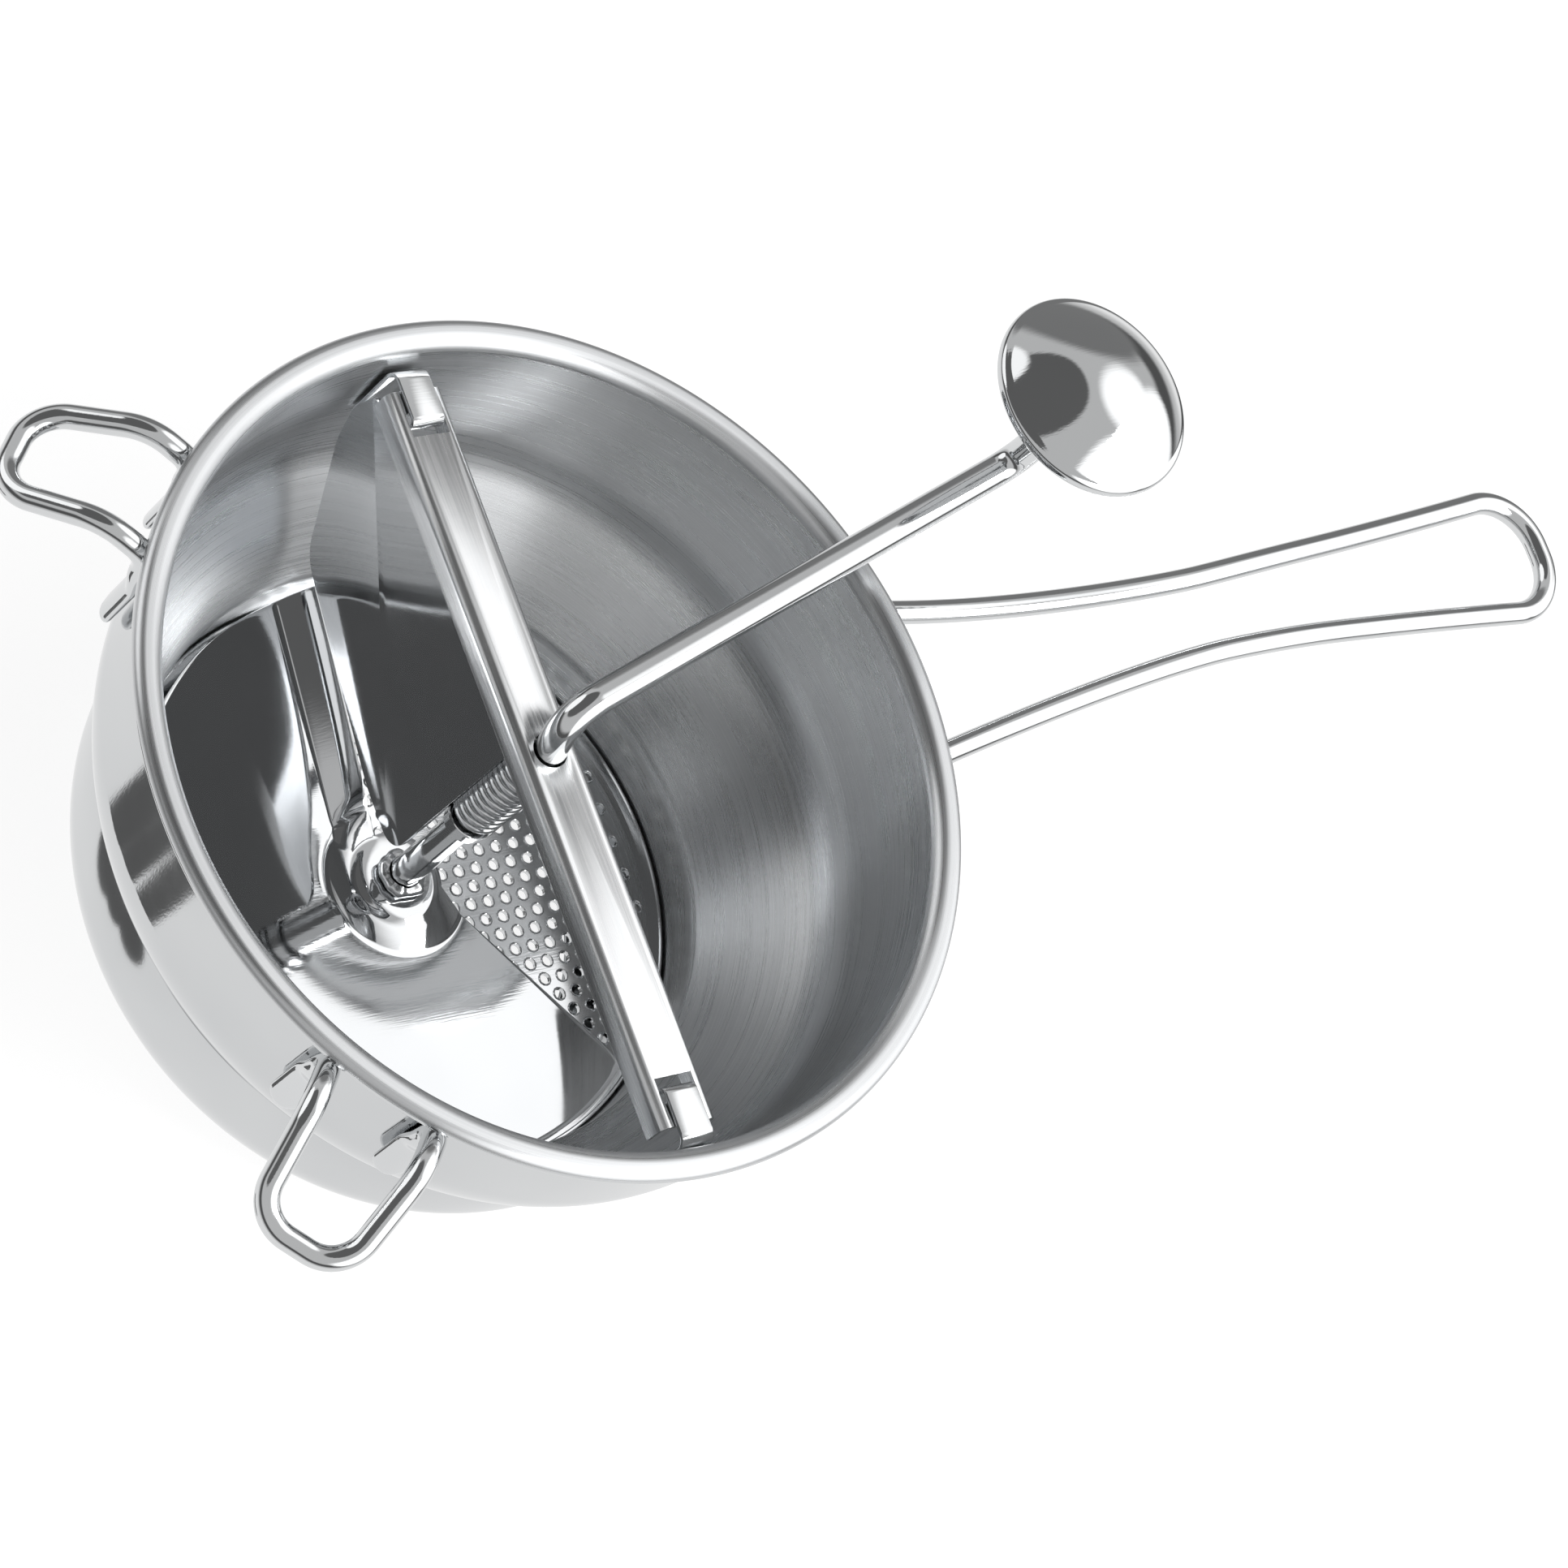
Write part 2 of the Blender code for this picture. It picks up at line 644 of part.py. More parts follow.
def hub_weld():
    """Weld bead round the shaft where the blade joins it."""
    inner = ROD / 2 + GAP
    loop = [
        (inner, WELD_Z + WELD_HEIGHT),
        (inner + WELD_WIDTH * 0.45, WELD_Z + WELD_HEIGHT * 0.8),
        (inner + WELD_WIDTH, WELD_Z + WELD_HEIGHT * 0.27),
        (inner + WELD_WIDTH, WELD_Z),
        (inner, WELD_Z),
    ]
    turned("blade_weld", loop, POLISHED, steps=20)


# ---- knob -----------------------------------------------------------------------------------
def knob():
    flat = KNOB_RADIUS - KNOB_SHEET
    dome = []
    steps = 6
    crown = flat - 0.0012
    for k in range(steps + 1):
        radius = crown * k / steps
        dome.append((radius, KNOB_DOME * (1 - (radius / flat) ** 2.2) - KNOB_SHEET))
    dome += [
        (flat, -0.0003),
        (flat, -KNOB_SKIRT + 0.0012),
        (flat - 0.0012, -KNOB_SKIRT + 0.0003),
    ]
    shell = band(dome, 0, KNOB_SHEET)
    shell[0] = (0, shell[0][1])
    turned("knob_cap", shell, POLISHED, closed=False, parent=KNOB_AXIS, steps=32)
    sleeve = ROD / 2 + GAP
    bush_outer = sleeve + BUSH_WALL
    rim_foot = -KNOB_SKIRT / 2
    base = [
        (flat - 2 * GAP, rim_foot + KNOB_SHEET),
        (flat - 2 * GAP, rim_foot),
        (flat * 0.6, rim_foot - KNOB_DISH * 0.8),
        (bush_outer + GAP, rim_foot - KNOB_DISH),
        (bush_outer + GAP, rim_foot - KNOB_DISH + KNOB_SHEET),
        (flat * 0.6, rim_foot - KNOB_DISH * 0.8 + KNOB_SHEET),
    ]
    turned("knob_base", base, POLISHED, parent=KNOB_AXIS, steps=32)
    flange = bush_outer + BUSH_FLANGE
    seat = rim_foot - KNOB_DISH * 0.8 + KNOB_SHEET + GAP
    bush = [
        (bush_outer, KNOB_DOME / 2 - GAP),
        (bush_outer, seat + KNOB_SHEET),
        (flange, seat + KNOB_SHEET),
        (flange, seat),
        (bush_outer, seat),
        (bush_outer, rim_foot - KNOB_DISH - KNOB_SHEET),
        (sleeve, rim_foot - KNOB_DISH - KNOB_SHEET),
        (sleeve, KNOB_DOME / 2 - GAP),
    ]
    turned("knob_bush", bush, BRUSHED, parent=KNOB_AXIS, steps=24)
    top = KNOB_DOME / 2 + GAP
    loop = [(0, top + 0.0010), (bush_outer, top + 0.0010), (bush_outer, top), (0, top)]
    turned("knob_retainer", loop, BRUSHED, closed=False, parent=KNOB_AXIS, steps=24)


# ---- wire handle, hooks and their pads ------------------------------------------------------
def leg_radius(half_spread, z):
    """Distance along the wire's own direction at which a leg clears the bowl's wall."""
    reach = wall_radius(z) + SHEET + GAP + WIRE / 2
    return math.sqrt(reach * reach - half_spread * half_spread)


def looped_wire(name, half, radii, turn):
    """Wire made of a half path and its mirror image in Y, turned about the bowl's axis."""
    whole = half + [(x, -y, z) for x, y, z in reversed(half)]
    spin = Matrix.Rotation(turn, 3, "Z")
    points = rounded([spin @ Vector(p) for p in whole], radii + radii[::-1], 18.0)
    wire(name, points, WIRE, POLISHED)


def pads(label, half_spread, turn):
    """Flattened, spot-welded ends of a wire on the bowl's wall."""
    top = RIM_Z - LUG_DROP - LEG_LENGTH - GAP
    half = PAD_WIDTH / 2
    corners = [
        (-half, top - PAD_HEIGHT),
        (-half, top),
        (half, top),
        (half, top - PAD_HEIGHT),
        (-half, top - PAD_HEIGHT),
    ]
    outline = profile(corners, [PAD_WIDTH * 0.2, PAD_WIDTH * 0.2, PAD_WIDTH * 0.4])
    for side, end in ((1, "a"), (-1, "b")):
        about = turn + side * math.asin(half_spread / leg_radius(0, top))
        radius = wall_radius(top) + SHEET + 2 * GAP + PAD_SHEET / 2
        pad = plate(
            f"{label}_pad_{end}",
            outline[:-1],
            PAD_SHEET,
            POLISHED,
            (math.pi / 2, 0, about + math.pi / 2),
        )
        pad.location = (radius * math.cos(about), radius * math.sin(about), 0)


def hooks():
    pass_z = RIM_Z - LUG_DROP
    leg = leg_radius(HOOK_SPREAD, pass_z)
    half = [
        (leg, HOOK_SPREAD, pass_z - LEG_LENGTH),
        (leg, HOOK_SPREAD, pass_z),
        (leg + HOOK_CREST, HOOK_SPREAD, pass_z + HOOK_RISE),
        (HOOK_REACH, HOOK_END, pass_z - HOOK_DROP),
    ]
    for side, label in ((1, "left"), (-1, "right")):
        turn = side * math.radians(HOOK_ANGLE)
        looped_wire("hook_" + label, half, [WIRE_ROUND, 0.014, 0.010], turn)
        pads("hook_" + label, HOOK_SPREAD, turn)


def handle_half_width(share):
    """Narrow at the waist, wider to both ends, at a share of the way from the legs to the tip."""
    if share < WAIST_SHARE:
        return HANDLE_WAIST + (HANDLE_ROOT - HANDLE_WAIST) * (1 - share / WAIST_SHARE) ** 1.6
    out = (share - WAIST_SHARE) / (1 - WAIST_SHARE)
    return HANDLE_WAIST + (HANDLE_FLARE - HANDLE_WAIST) * out**1.43


def handle_height(share):
    """Height above the legs, an S-shaped rise and then level."""
    rise = min(1.0, share / HANDLE_RISE_SHARE)
    return HANDLE_RISE * rise * rise * (3 - 2 * rise)


def long_handle():
    pass_z = RIM_Z - LUG_DROP
    leg = leg_radius(HANDLE_ROOT, pass_z)
    end = HANDLE_REACH - WIRE / 2
    half = [(leg, HANDLE_ROOT, pass_z - LEG_LENGTH), (leg, HANDLE_ROOT, pass_z)]
    radii = [WIRE_ROUND]
    steps = 18
    for k in range(1, steps):
        share = k / steps
        along = leg + (end - leg) * share
        half.append((along, handle_half_width(share), pass_z + handle_height(share)))
        radii.append(0)
    half[-1] = (end, HANDLE_FLARE, pass_z + HANDLE_RISE)
    radii[-1] = HANDLE_TIP_ROUND
    looped_wire("long_handle", half, radii, 0.0)
    pads("handle", HANDLE_ROOT, 0.0)


bowl()
lower_skirt()
perforated_disc()
crossbar()
lug_straps()
crank_rod()
spring()
washers_and_stop()
blade()
hub_weld()
knob()
hooks()
long_handle()
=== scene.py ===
"""Looks of the rotary food mill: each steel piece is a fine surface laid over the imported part."""
import math

import bmesh
import bpy
import numpy as np
from mathutils import Matrix, Vector


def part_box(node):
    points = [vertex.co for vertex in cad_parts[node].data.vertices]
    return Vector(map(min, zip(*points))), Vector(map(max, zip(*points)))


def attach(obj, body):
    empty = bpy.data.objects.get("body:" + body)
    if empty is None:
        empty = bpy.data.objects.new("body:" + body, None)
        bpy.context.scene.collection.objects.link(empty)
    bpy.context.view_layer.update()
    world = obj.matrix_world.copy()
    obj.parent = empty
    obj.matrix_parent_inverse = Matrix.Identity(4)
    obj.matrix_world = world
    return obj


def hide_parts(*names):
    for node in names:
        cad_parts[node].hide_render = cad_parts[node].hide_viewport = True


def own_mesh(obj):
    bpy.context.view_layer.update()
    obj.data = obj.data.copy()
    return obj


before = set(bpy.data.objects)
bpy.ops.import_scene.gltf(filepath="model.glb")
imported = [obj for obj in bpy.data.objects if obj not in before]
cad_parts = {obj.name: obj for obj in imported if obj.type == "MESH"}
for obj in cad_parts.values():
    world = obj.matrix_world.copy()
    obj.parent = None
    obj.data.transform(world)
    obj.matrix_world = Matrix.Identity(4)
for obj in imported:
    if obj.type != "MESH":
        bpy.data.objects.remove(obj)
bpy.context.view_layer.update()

# ---- dimensions, in metres ------------------------------------------------------------------
BOWL_LOW, BOWL_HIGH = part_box("bowl")
KNOB_LOW, KNOB_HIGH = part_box("knob_cap")
GAP = 0.0003
SHEET = 0.0010
RIM_Z = BOWL_HIGH.z
RIM_RADIUS = (BOWL_HIGH.x - BOWL_LOW.x) / 2
AXIS = ((BOWL_LOW.x + BOWL_HIGH.x) / 2, (BOWL_LOW.y + BOWL_HIGH.y) / 2)
LIP_DROP = 0.0035
LIP_INSET = 0.0004
LIP_ROLL = 0.0022
BOWL_STEPS = 288
WALL_TOP = RIM_RADIUS - 0.0080
WALL_TAPER = 0.0010
WALL_DEPTH = 0.0450
WALL_FOOT = WALL_TOP - WALL_TAPER
COLLAR_RADIUS = 0.0760
COLLAR_DEPTH = 0.0750
LEDGE_DEPTH = 0.0933
LEDGE_WIDTH = 0.0055
SHOULDER_ROUND = 0.0260
SHOULDER_SLOPE = (WALL_FOOT - COLLAR_RADIUS) / (COLLAR_DEPTH - WALL_DEPTH)

SKIRT_DEPTH = 0.0615
SKIRT_TAPER = 0.0045
FOOT_ROUND = 0.0240
FOOT_WIDTH = 0.0290

DISC_SHEET = 0.0010
DISC_RIM = 0.0030
DISC_BOTTOM = RIM_Z - LEDGE_DEPTH + GAP
DISC_TOP = DISC_BOTTOM + DISC_SHEET
DISC_RADIUS = COLLAR_RADIUS - 0.0006
HOLE_PITCH = 0.0052
HOLE_RADIUS = 0.00142
HOLE_FIELD = 0.0700
HOLE_SIDES = 12
DISC_STEPS = 180
BURR_WIDTH = 0.0005
BURR_HEIGHT = 0.0003
BURR_SINK = 0.0001
DISC_EDGE = 0.0003

ROD_RADIUS = 0.0040
SHAFT_CLEARANCE = 0.0005
SHAFT_FOOT = DISC_TOP + 3 * GAP
BAR_TOP = RIM_Z - 0.0080
BAR_HALF = WALL_FOOT - 0.0060
BAR_WIDTH = 0.0160
BAR_FLANGE = 0.0080
BAR_SHEET = 0.0012
BAR_ROUND = 0.0026
BAR_TRAVEL = 0.0025
BLADE_LIFT = 0.0025
SLOT_LENGTH = 0.0060
SLOT_WIDTH = 0.0104
SLOT_INSET = 0.0090
BAR_BEVEL = 0.00022
HUB_HEIGHT = 0.0040
HUB_RADIUS = 0.0120
WELD_Z = DISC_TOP + HUB_HEIGHT + SHEET + 3 * GAP
WELD_HEIGHT = 0.0030
WELD_WIDTH = 0.0026
BAFFLE_EDGE = 0.0025
BAFFLE_WALL = 0.0024
BAFFLE_SHOULDER = 0.0050
BAFFLE_SLANT = 0.0115
BAFFLE_FOOT_Z = WELD_Z + WELD_HEIGHT + BAR_TRAVEL + BLADE_LIFT + 0.0039
STRAP_SHEET = 0.0012
STRAP_WIDTH = 0.0090
STRAP_LEG = 0.0300
STRAP_DIP = 0.0020
STRAP_BEVEL = 0.0003

WASHER = 0.0010
WASHER_STEPS = 72
COLLAR_STOP = 0.0040
SPRING_WIRE = 0.0020
SPRING_TURNS = 13
SPRING_STEPS = 40
SPRING_LENGTH = 0.0360
SPRING_TOP = BAR_TOP - BAR_SHEET - 2 * GAP - WASHER
SPRING_FOOT = SPRING_TOP - SPRING_LENGTH
SPRING_RADIUS = ROD_RADIUS + SHAFT_CLEARANCE + SPRING_WIRE / 2

KNOB_AXIS = ((KNOB_LOW.x + KNOB_HIGH.x) / 2, (KNOB_LOW.y + KNOB_HIGH.y) / 2)
KNOB_RADIUS = 0.0262
KNOB_DOME = 0.0115
KNOB_Z = KNOB_HIGH.z - KNOB_DOME
KNOB_SKIRT = 0.0030
KNOB_SHEET = 0.0010
KNOB_DISH = 0.0030
KNOB_ROLL = 0.0012
KNOB_POWER = 2.2
KNOB_STEPS = 160
RING_STEPS = 96
KNOB_BEND = 0.0009
SMALL_EDGE = 0.0003
RING_HEIGHT = 0.0010
RING_EDGE = 0.0002
KNOB_LIFT = 0.0368
BUSH_WALL = 0.0018
BUSH_FLANGE = 0.0040
CRANK_TURN = math.atan2(KNOB_AXIS[1] - AXIS[1], KNOB_AXIS[0] - AXIS[0])
CRANK_REACH = math.hypot(KNOB_AXIS[0] - AXIS[0], KNOB_AXIS[1] - AXIS[1])
CRANK_END_Z = KNOB_Z - KNOB_LIFT
ELBOW_Z = BAR_TOP + 0.0120
ELBOW_SIDE = 0.0035
ELBOW_ROUND = 0.0110
KNOB_ROUND = 0.0075

BLADE_LEAD = math.radians(90.0)
BLADE_TRAIL = math.radians(303.6)
LEAD_OFFSET = 0.0025
TRAIL_OFFSET = 0.0070
BLADE_STRIP = 0.0105
BLADE_RISE = 0.0180
STRIP_RISE = 0.0040
BLADE_BEVEL = 0.00025
BLADE_RADIUS = DISC_RADIUS - DISC_SHEET - 0.0010

WIRE_RADIUS = 0.0030
LUG_DROP = 0.0080
LEG_LENGTH = 0.0065
PAD_HEIGHT = 0.0215
PAD_HALF_WIDTH = 0.0044
PAD_HALF_SHEET = 0.0017
PAD_NOSE = 0.0016
LEAN_START = 0.72
WIRE_SIDES = 32
HOOK_TURN = math.radians(136.2)
HOOK_SPREAD = 0.0145
HOOK_REACH = 0.1420
HOOK_CREST = 0.0140
HOOK_RISE = 0.0030
HOOK_DROP = 0.0125
HOOK_END = 0.0120
WIRE_ROUND = 0.0060
HANDLE_REACH = 0.3151
HANDLE_RISE = 0.0153
HANDLE_RISE_SHARE = 0.62
HANDLE_ROOT = 0.0203
HANDLE_WAIST = 0.0102
HANDLE_FLARE = 0.0172
WAIST_SHARE = 0.445
HANDLE_TIP_ROUND = 0.0145
HANDLE_TIP_RUN = 0.0190


def wall_radius(z):
    """Inside radius of the bowl's wall: it narrows evenly from the lip down to the shoulder."""
    return WALL_TOP - WALL_TAPER * (RIM_Z - z) / WALL_DEPTH


def shoulder_radius(z):
    """Radius of the shoulder's inner face: it narrows evenly from the wall's foot to the collar."""
    return WALL_FOOT - SHOULDER_SLOPE * (RIM_Z - WALL_DEPTH - z)


# ---- finishes -------------------------------------------------------------------------------
class Finish:
    """A node-built steel: the shader and short calls that add and join nodes."""

    def __init__(self, name, tone, roughness):
        self.material = bpy.data.materials.new(name)
        self.material.use_nodes = True
        self.tree = self.material.node_tree
        self.shader = self.tree.nodes["Principled BSDF"]
        self.shader.inputs["Base Color"].default_value = (*tone, 1.0)
        self.shader.inputs["Metallic"].default_value = 1.0
        self.shader.inputs["Roughness"].default_value = roughness
        self.place = self.add("ShaderNodeTexCoord").outputs["Object"]

    def add(self, kind, **settings):
        node = self.tree.nodes.new(kind)
        for key, value in settings.items():
            setattr(node, key, value)
        return node

    def join(self, source, target):
        self.tree.links.new(source, target)

    def mapped(self, source, scale, location=(0, 0, 0), rotation=(0, 0, 0)):
        node = self.add("ShaderNodeMapping")
        self.join(source, node.inputs["Vector"])
        node.inputs["Scale"].default_value = scale
        node.inputs["Location"].default_value = location
        node.inputs["Rotation"].default_value = rotation
        return node.outputs["Vector"]

    def noise(self, source, scale, detail=3.0, rough=0.55):
        node = self.add("ShaderNodeTexNoise")
        self.join(source, node.inputs["Vector"])
        node.inputs["Scale"].default_value = scale
        node.inputs["Detail"].default_value = detail
        node.inputs["Roughness"].default_value = rough
        return node.outputs["Fac"]

    def ranged(self, source, low, high, start=0.3, end=0.7):
        node = self.add("ShaderNodeMapRange")
        self.join(source, node.inputs["Value"])
        for socket, value in zip(("From Min", "From Max", "To Min", "To Max"),
                                 (start, end, low, high)):
            node.inputs[socket].default_value = value
        return node.outputs["Result"]

    def math(self, operation, first, second):
        node = self.add("ShaderNodeMath", operation=operation)
        for socket, value in zip(node.inputs, (first, second)):
            if isinstance(value, (int, float)):
                socket.default_value = value
            else:
                self.join(value, socket)
        return node.outputs[0]

    def tint(self, source, dark, light):
        node = self.add("ShaderNodeMix", data_type="RGBA")
        self.join(source, node.inputs["Factor"])
        node.inputs["A"].default_value = (*dark, 1.0)
        node.inputs["B"].default_value = (*light, 1.0)
        self.join(node.outputs["Result"], self.shader.inputs["Base Color"])

    def relief(self, *layers):
        """Bumps one on another: each layer is (height, strength, depth in metres)."""
        under = None
        for height, strength, depth in layers:
            node = self.add("ShaderNodeBump")
            node.inputs["Strength"].default_value = strength
            node.inputs["Distance"].default_value = depth
            self.join(height, node.inputs["Height"])
            if under:
                self.join(under, node.inputs["Normal"])
            under = node.outputs["Normal"]
        self.join(under, self.shader.inputs["Normal"])


def polished_finish(name, dark, light, rough_low, rough_high, scratch, waves=0.02):
    """Mirror steel: cloudy roughness, a hair of polishing scratches and slow waves of the sheet."""
    steel = Finish(name, light, rough_low)
    cloud = steel.noise(steel.place, 38.0, 4.0)
    steel.join(steel.ranged(cloud, rough_low, rough_high), steel.shader.inputs["Roughness"])
    steel.tint(steel.noise(steel.place, 22.0, 2.0), dark, light)
    across = steel.mapped(steel.place, (90.0, 1900.0, 700.0), rotation=(0.3, 0.5, 0.7))
    hairs = steel.noise(across, 1.0, 2.0)
    slow = steel.noise(steel.place, 42.0, 1.0)
    steel.relief((slow, waves, 0.002), (hairs, scratch, 0.0001))
    return steel.material


def spun_finish(name, dark, light, rough_low, rough_high, lines):
    """Steel brushed on a lathe: fine rings at each radius and height, with a fan-like gloss."""
    steel = Finish(name, light, rough_low)
    centred = steel.mapped(steel.place, (1, 1, 1), location=(-AXIS[0], -AXIS[1], 0))
    split = steel.add("ShaderNodeSeparateXYZ")
    steel.join(centred, split.inputs[0])
    squared = steel.math("ADD", steel.math("MULTIPLY", split.outputs["X"], split.outputs["X"]),
                         steel.math("MULTIPLY", split.outputs["Y"], split.outputs["Y"]))
    radius = steel.math("SQRT", squared, 0.0)
    rings = steel.add("ShaderNodeCombineXYZ")
    steel.join(steel.math("MULTIPLY", radius, 2600.0), rings.inputs["X"])
    steel.join(steel.math("MULTIPLY", split.outputs["Z"], 2600.0), rings.inputs["Y"])
    drift = steel.add("ShaderNodeVectorMath", operation="ADD")
    steel.join(rings.outputs[0], drift.inputs[0])
    steel.join(steel.mapped(centred, (14, 14, 14)), drift.inputs[1])
    grooves = steel.noise(drift.outputs[0], 1.0, 3.0, 0.6)
    broad = steel.add("ShaderNodeVectorMath", operation="SCALE")
    steel.join(rings.outputs[0], broad.inputs[0])
    broad.inputs["Scale"].default_value = 0.06
    belts = steel.noise(broad.outputs[0], 1.0, 2.0)
    cloud = steel.noise(steel.place, 26.0, 3.0)
    mixed = steel.math("ADD", steel.math("MULTIPLY", grooves, 0.6),
                       steel.math("ADD", steel.math("MULTIPLY", belts, 0.2),
                                  steel.math("MULTIPLY", cloud, 0.2)))
    steel.join(steel.ranged(mixed, rough_low, rough_high, 0.35, 0.65),
               steel.shader.inputs["Roughness"])
    steel.tint(steel.ranged(grooves, 0.0, 1.0, 0.3, 0.7), dark, light)
    steel.relief((grooves, lines, 0.00012), (belts, lines * 0.6, 0.0006))
    steel.shader.inputs["Anisotropic"].default_value = 0.72
    steel.shader.inputs["Anisotropic Rotation"].default_value = 0.25
    round_axis = steel.add("ShaderNodeTangent", direction_type="RADIAL", axis="Z")
    steel.join(round_axis.outputs[0], steel.shader.inputs["Tangent"])
    return steel.material


def drawn_finish(name, dark, light, rough_low, rough_high, scale, lines):
    """Steel with straight grain: noise stretched a long way along the grain."""
    steel = Finish(name, light, rough_low)
    grain = steel.noise(steel.mapped(steel.place, scale), 1.0, 3.0, 0.6)
    cloud = steel.noise(steel.place, 45.0, 3.0)
    both = steel.math("ADD", steel.math("MULTIPLY", grain, 0.65),
                      steel.math("MULTIPLY", cloud, 0.35))
    steel.join(steel.ranged(both, rough_low, rough_high, 0.35, 0.65),
               steel.shader.inputs["Roughness"])
    steel.tint(steel.ranged(grain, 0.0, 1.0), dark, light)
    steel.relief((cloud, 0.05, 0.0010), (grain, lines, 0.00012))
    return steel.material


MIRROR = polished_finish(
    "mirror_steel", (0.60, 0.61, 0.62), (0.70, 0.71, 0.715), 0.035, 0.085, 0.05)
WIRE_MIRROR = polished_finish(
    "wire_steel", (0.66, 0.67, 0.68), (0.76, 0.77, 0.775), 0.05, 0.11, 0.06)
BLADE_MIRROR = polished_finish(
    "blade_steel", (0.60, 0.61, 0.62), (0.70, 0.71, 0.72), 0.03, 0.07, 0.04, 0.01)
DISC_MIRROR = polished_finish(
    "disc_steel", (0.60, 0.61, 0.62), (0.76, 0.77, 0.78), 0.06, 0.14, 0.10)
KNOB_MIRROR = polished_finish(
    "knob_steel", (0.66, 0.67, 0.68), (0.74, 0.75, 0.755), 0.035, 0.07, 0.10)
SPUN = spun_finish(
    "spun_steel", (0.60, 0.61, 0.62), (0.70, 0.71, 0.72), 0.24, 0.34, 0.10)
SATIN = drawn_finish(
    "satin_steel", (0.68, 0.69, 0.70), (0.80, 0.805, 0.81), 0.18, 0.30,
    (1500.0, 26.0, 1500.0), 0.16)
# Darker copy of the polished steel for the baffle under the crossbar: painted shade.
SHADED_BAFFLE_STEEL = polished_finish(
    "baffle_steel_painted_shade", (0.56, 0.57, 0.58), (0.66, 0.67, 0.68), 0.05, 0.10, 0.05, 0.01)
SPRING_STEEL = drawn_finish(
    "spring_steel", (0.60, 0.61, 0.62), (0.80, 0.81, 0.82), 0.10, 0.20,
    (900.0, 900.0, 900.0), 0.12)
WELD_STEEL = drawn_finish(
    "weld_steel", (0.52, 0.53, 0.54), (0.80, 0.81, 0.82), 0.14, 0.30,
    (620.0, 620.0, 620.0), 0.45)


# ---- shapes ---------------------------------------------------------------------------------
def unit(vector):
    return vector / np.linalg.norm(vector)


def rounded(corners, radii, step=5.0):
    """Path through the corners with an arc at each inner corner. A point of the arc is its centre
    plus its first and last spokes weighed by the sines of the two remaining turns."""
    corners = np.asarray(corners, float)
    parts = [corners[:1]]
    for before, corner, after, radius in zip(corners, corners[1:], corners[2:], radii):
        back, ahead = unit(before - corner), unit(after - corner)
        turn = math.pi - math.acos(float(np.clip(back @ ahead, -1, 1)))
        if radius == 0 or turn < 0.01:
            parts.append(corner[None])
            continue
        reach = radius * math.tan(turn / 2)
        centre = corner + unit(back + ahead) * radius / math.cos(turn / 2)
        first, last = corner + back * reach - centre, corner + ahead * reach - centre
        share = np.linspace(0, 1, max(3, round(math.degrees(turn) / step)) + 1)[:, None]
        weights = np.sin((1 - share) * turn), np.sin(share * turn)
        parts.append(centre + (first * weights[0] + last * weights[1]) / math.sin(turn))
    parts.append(corners[-1:])
    return np.concatenate(parts)


def evened(path, spacing):
    """The path with points at even spacing along its length."""
    length = np.concatenate([[0], np.cumsum(np.linalg.norm(np.diff(path, axis=0), axis=1))])
    keep = np.concatenate([[True], np.diff(length) > 1e-9])
    path, length = path[keep], length[keep]
    stops = np.linspace(0, length[-1], max(2, round(length[-1] / spacing) + 1))
    return np.stack([np.interp(stops, length, path[:, k]) for k in range(path.shape[1])], 1)


def mitres(path):
    """Directions along each stretch of a flat path and to its left, and at each point the mitre:
    the sum of its two lefts over half that sum's square, so that a sheet keeps its thickness."""
    along = np.diff(path, axis=0)
    along /= np.linalg.norm(along, axis=1, keepdims=True)
    left = np.stack([-along[:, 1], along[:, 0]], 1)
    mitre = np.concatenate([left[:1], left]) + np.concatenate([left, left[-1:]])
    mitre *= 2 / (mitre**2).sum(1, keepdims=True)
    return along, left, mitre


def sheet_loop(path, near, far, round_steps=6):
    """Closed loop round a sheet that lies from near to far on the left of its path, with its two
    cut edges rounded by half circles that end where the path ends."""
    path = np.array(path, float)
    half, middle = (far - near) / 2, (far + near) / 2
    along, left, mitre = mitres(path)
    path[0] += along[0] * abs(half)
    path[-1] -= along[-1] * abs(half)
    turn = np.linspace(0, math.pi, round_steps + 1)[1:-1, None]
    across, ahead = half * np.cos(turn), abs(half) * np.sin(turn)
    end = path[-1] + left[-1] * middle + across * left[-1] + ahead * along[-1]
    start = path[0] + left[0] * middle - across * left[0] - ahead * along[0]
    return np.concatenate([path + mitre * far, end, (path + mitre * near)[::-1], start])


def grid_faces(rows, columns, closed_rows=False, closed_columns=False):
    """Quads of a grid whose points are numbered row by row."""
    row = np.arange(rows if closed_rows else rows - 1)[:, None]
    column = np.arange(columns if closed_columns else columns - 1)[None, :]
    next_row, next_column = (row + 1) % rows, (column + 1) % columns
    corners = [row * columns + column, row * columns + next_column,
               next_row * columns + next_column, next_row * columns + column]
    return np.stack(np.broadcast_arrays(*corners), -1).reshape(-1, 4)


def turned(loop, about=AXIS, steps=240, wobble=None):
    """Shell turned about an upright axis: x and y are the axis plus radius times the cosine and
    sine of the angle, and z is the loop's height. A wobble scales the loop at each angle."""
    loop = np.asarray(loop, float)
    angle = 2 * math.pi * np.arange(steps) / steps
    radius = np.broadcast_to(loop[:, 0], (steps, len(loop)))
    height = np.broadcast_to(loop[:, 1], (steps, len(loop)))
    if wobble:
        radius, height = wobble(angle[:, None], radius, height)
    points = np.stack([about[0] + np.cos(angle)[:, None] * radius,
                       about[1] + np.sin(angle)[:, None] * radius, height], -1)
    return points.reshape(-1, 3), [grid_faces(steps, len(loop), True, True)]


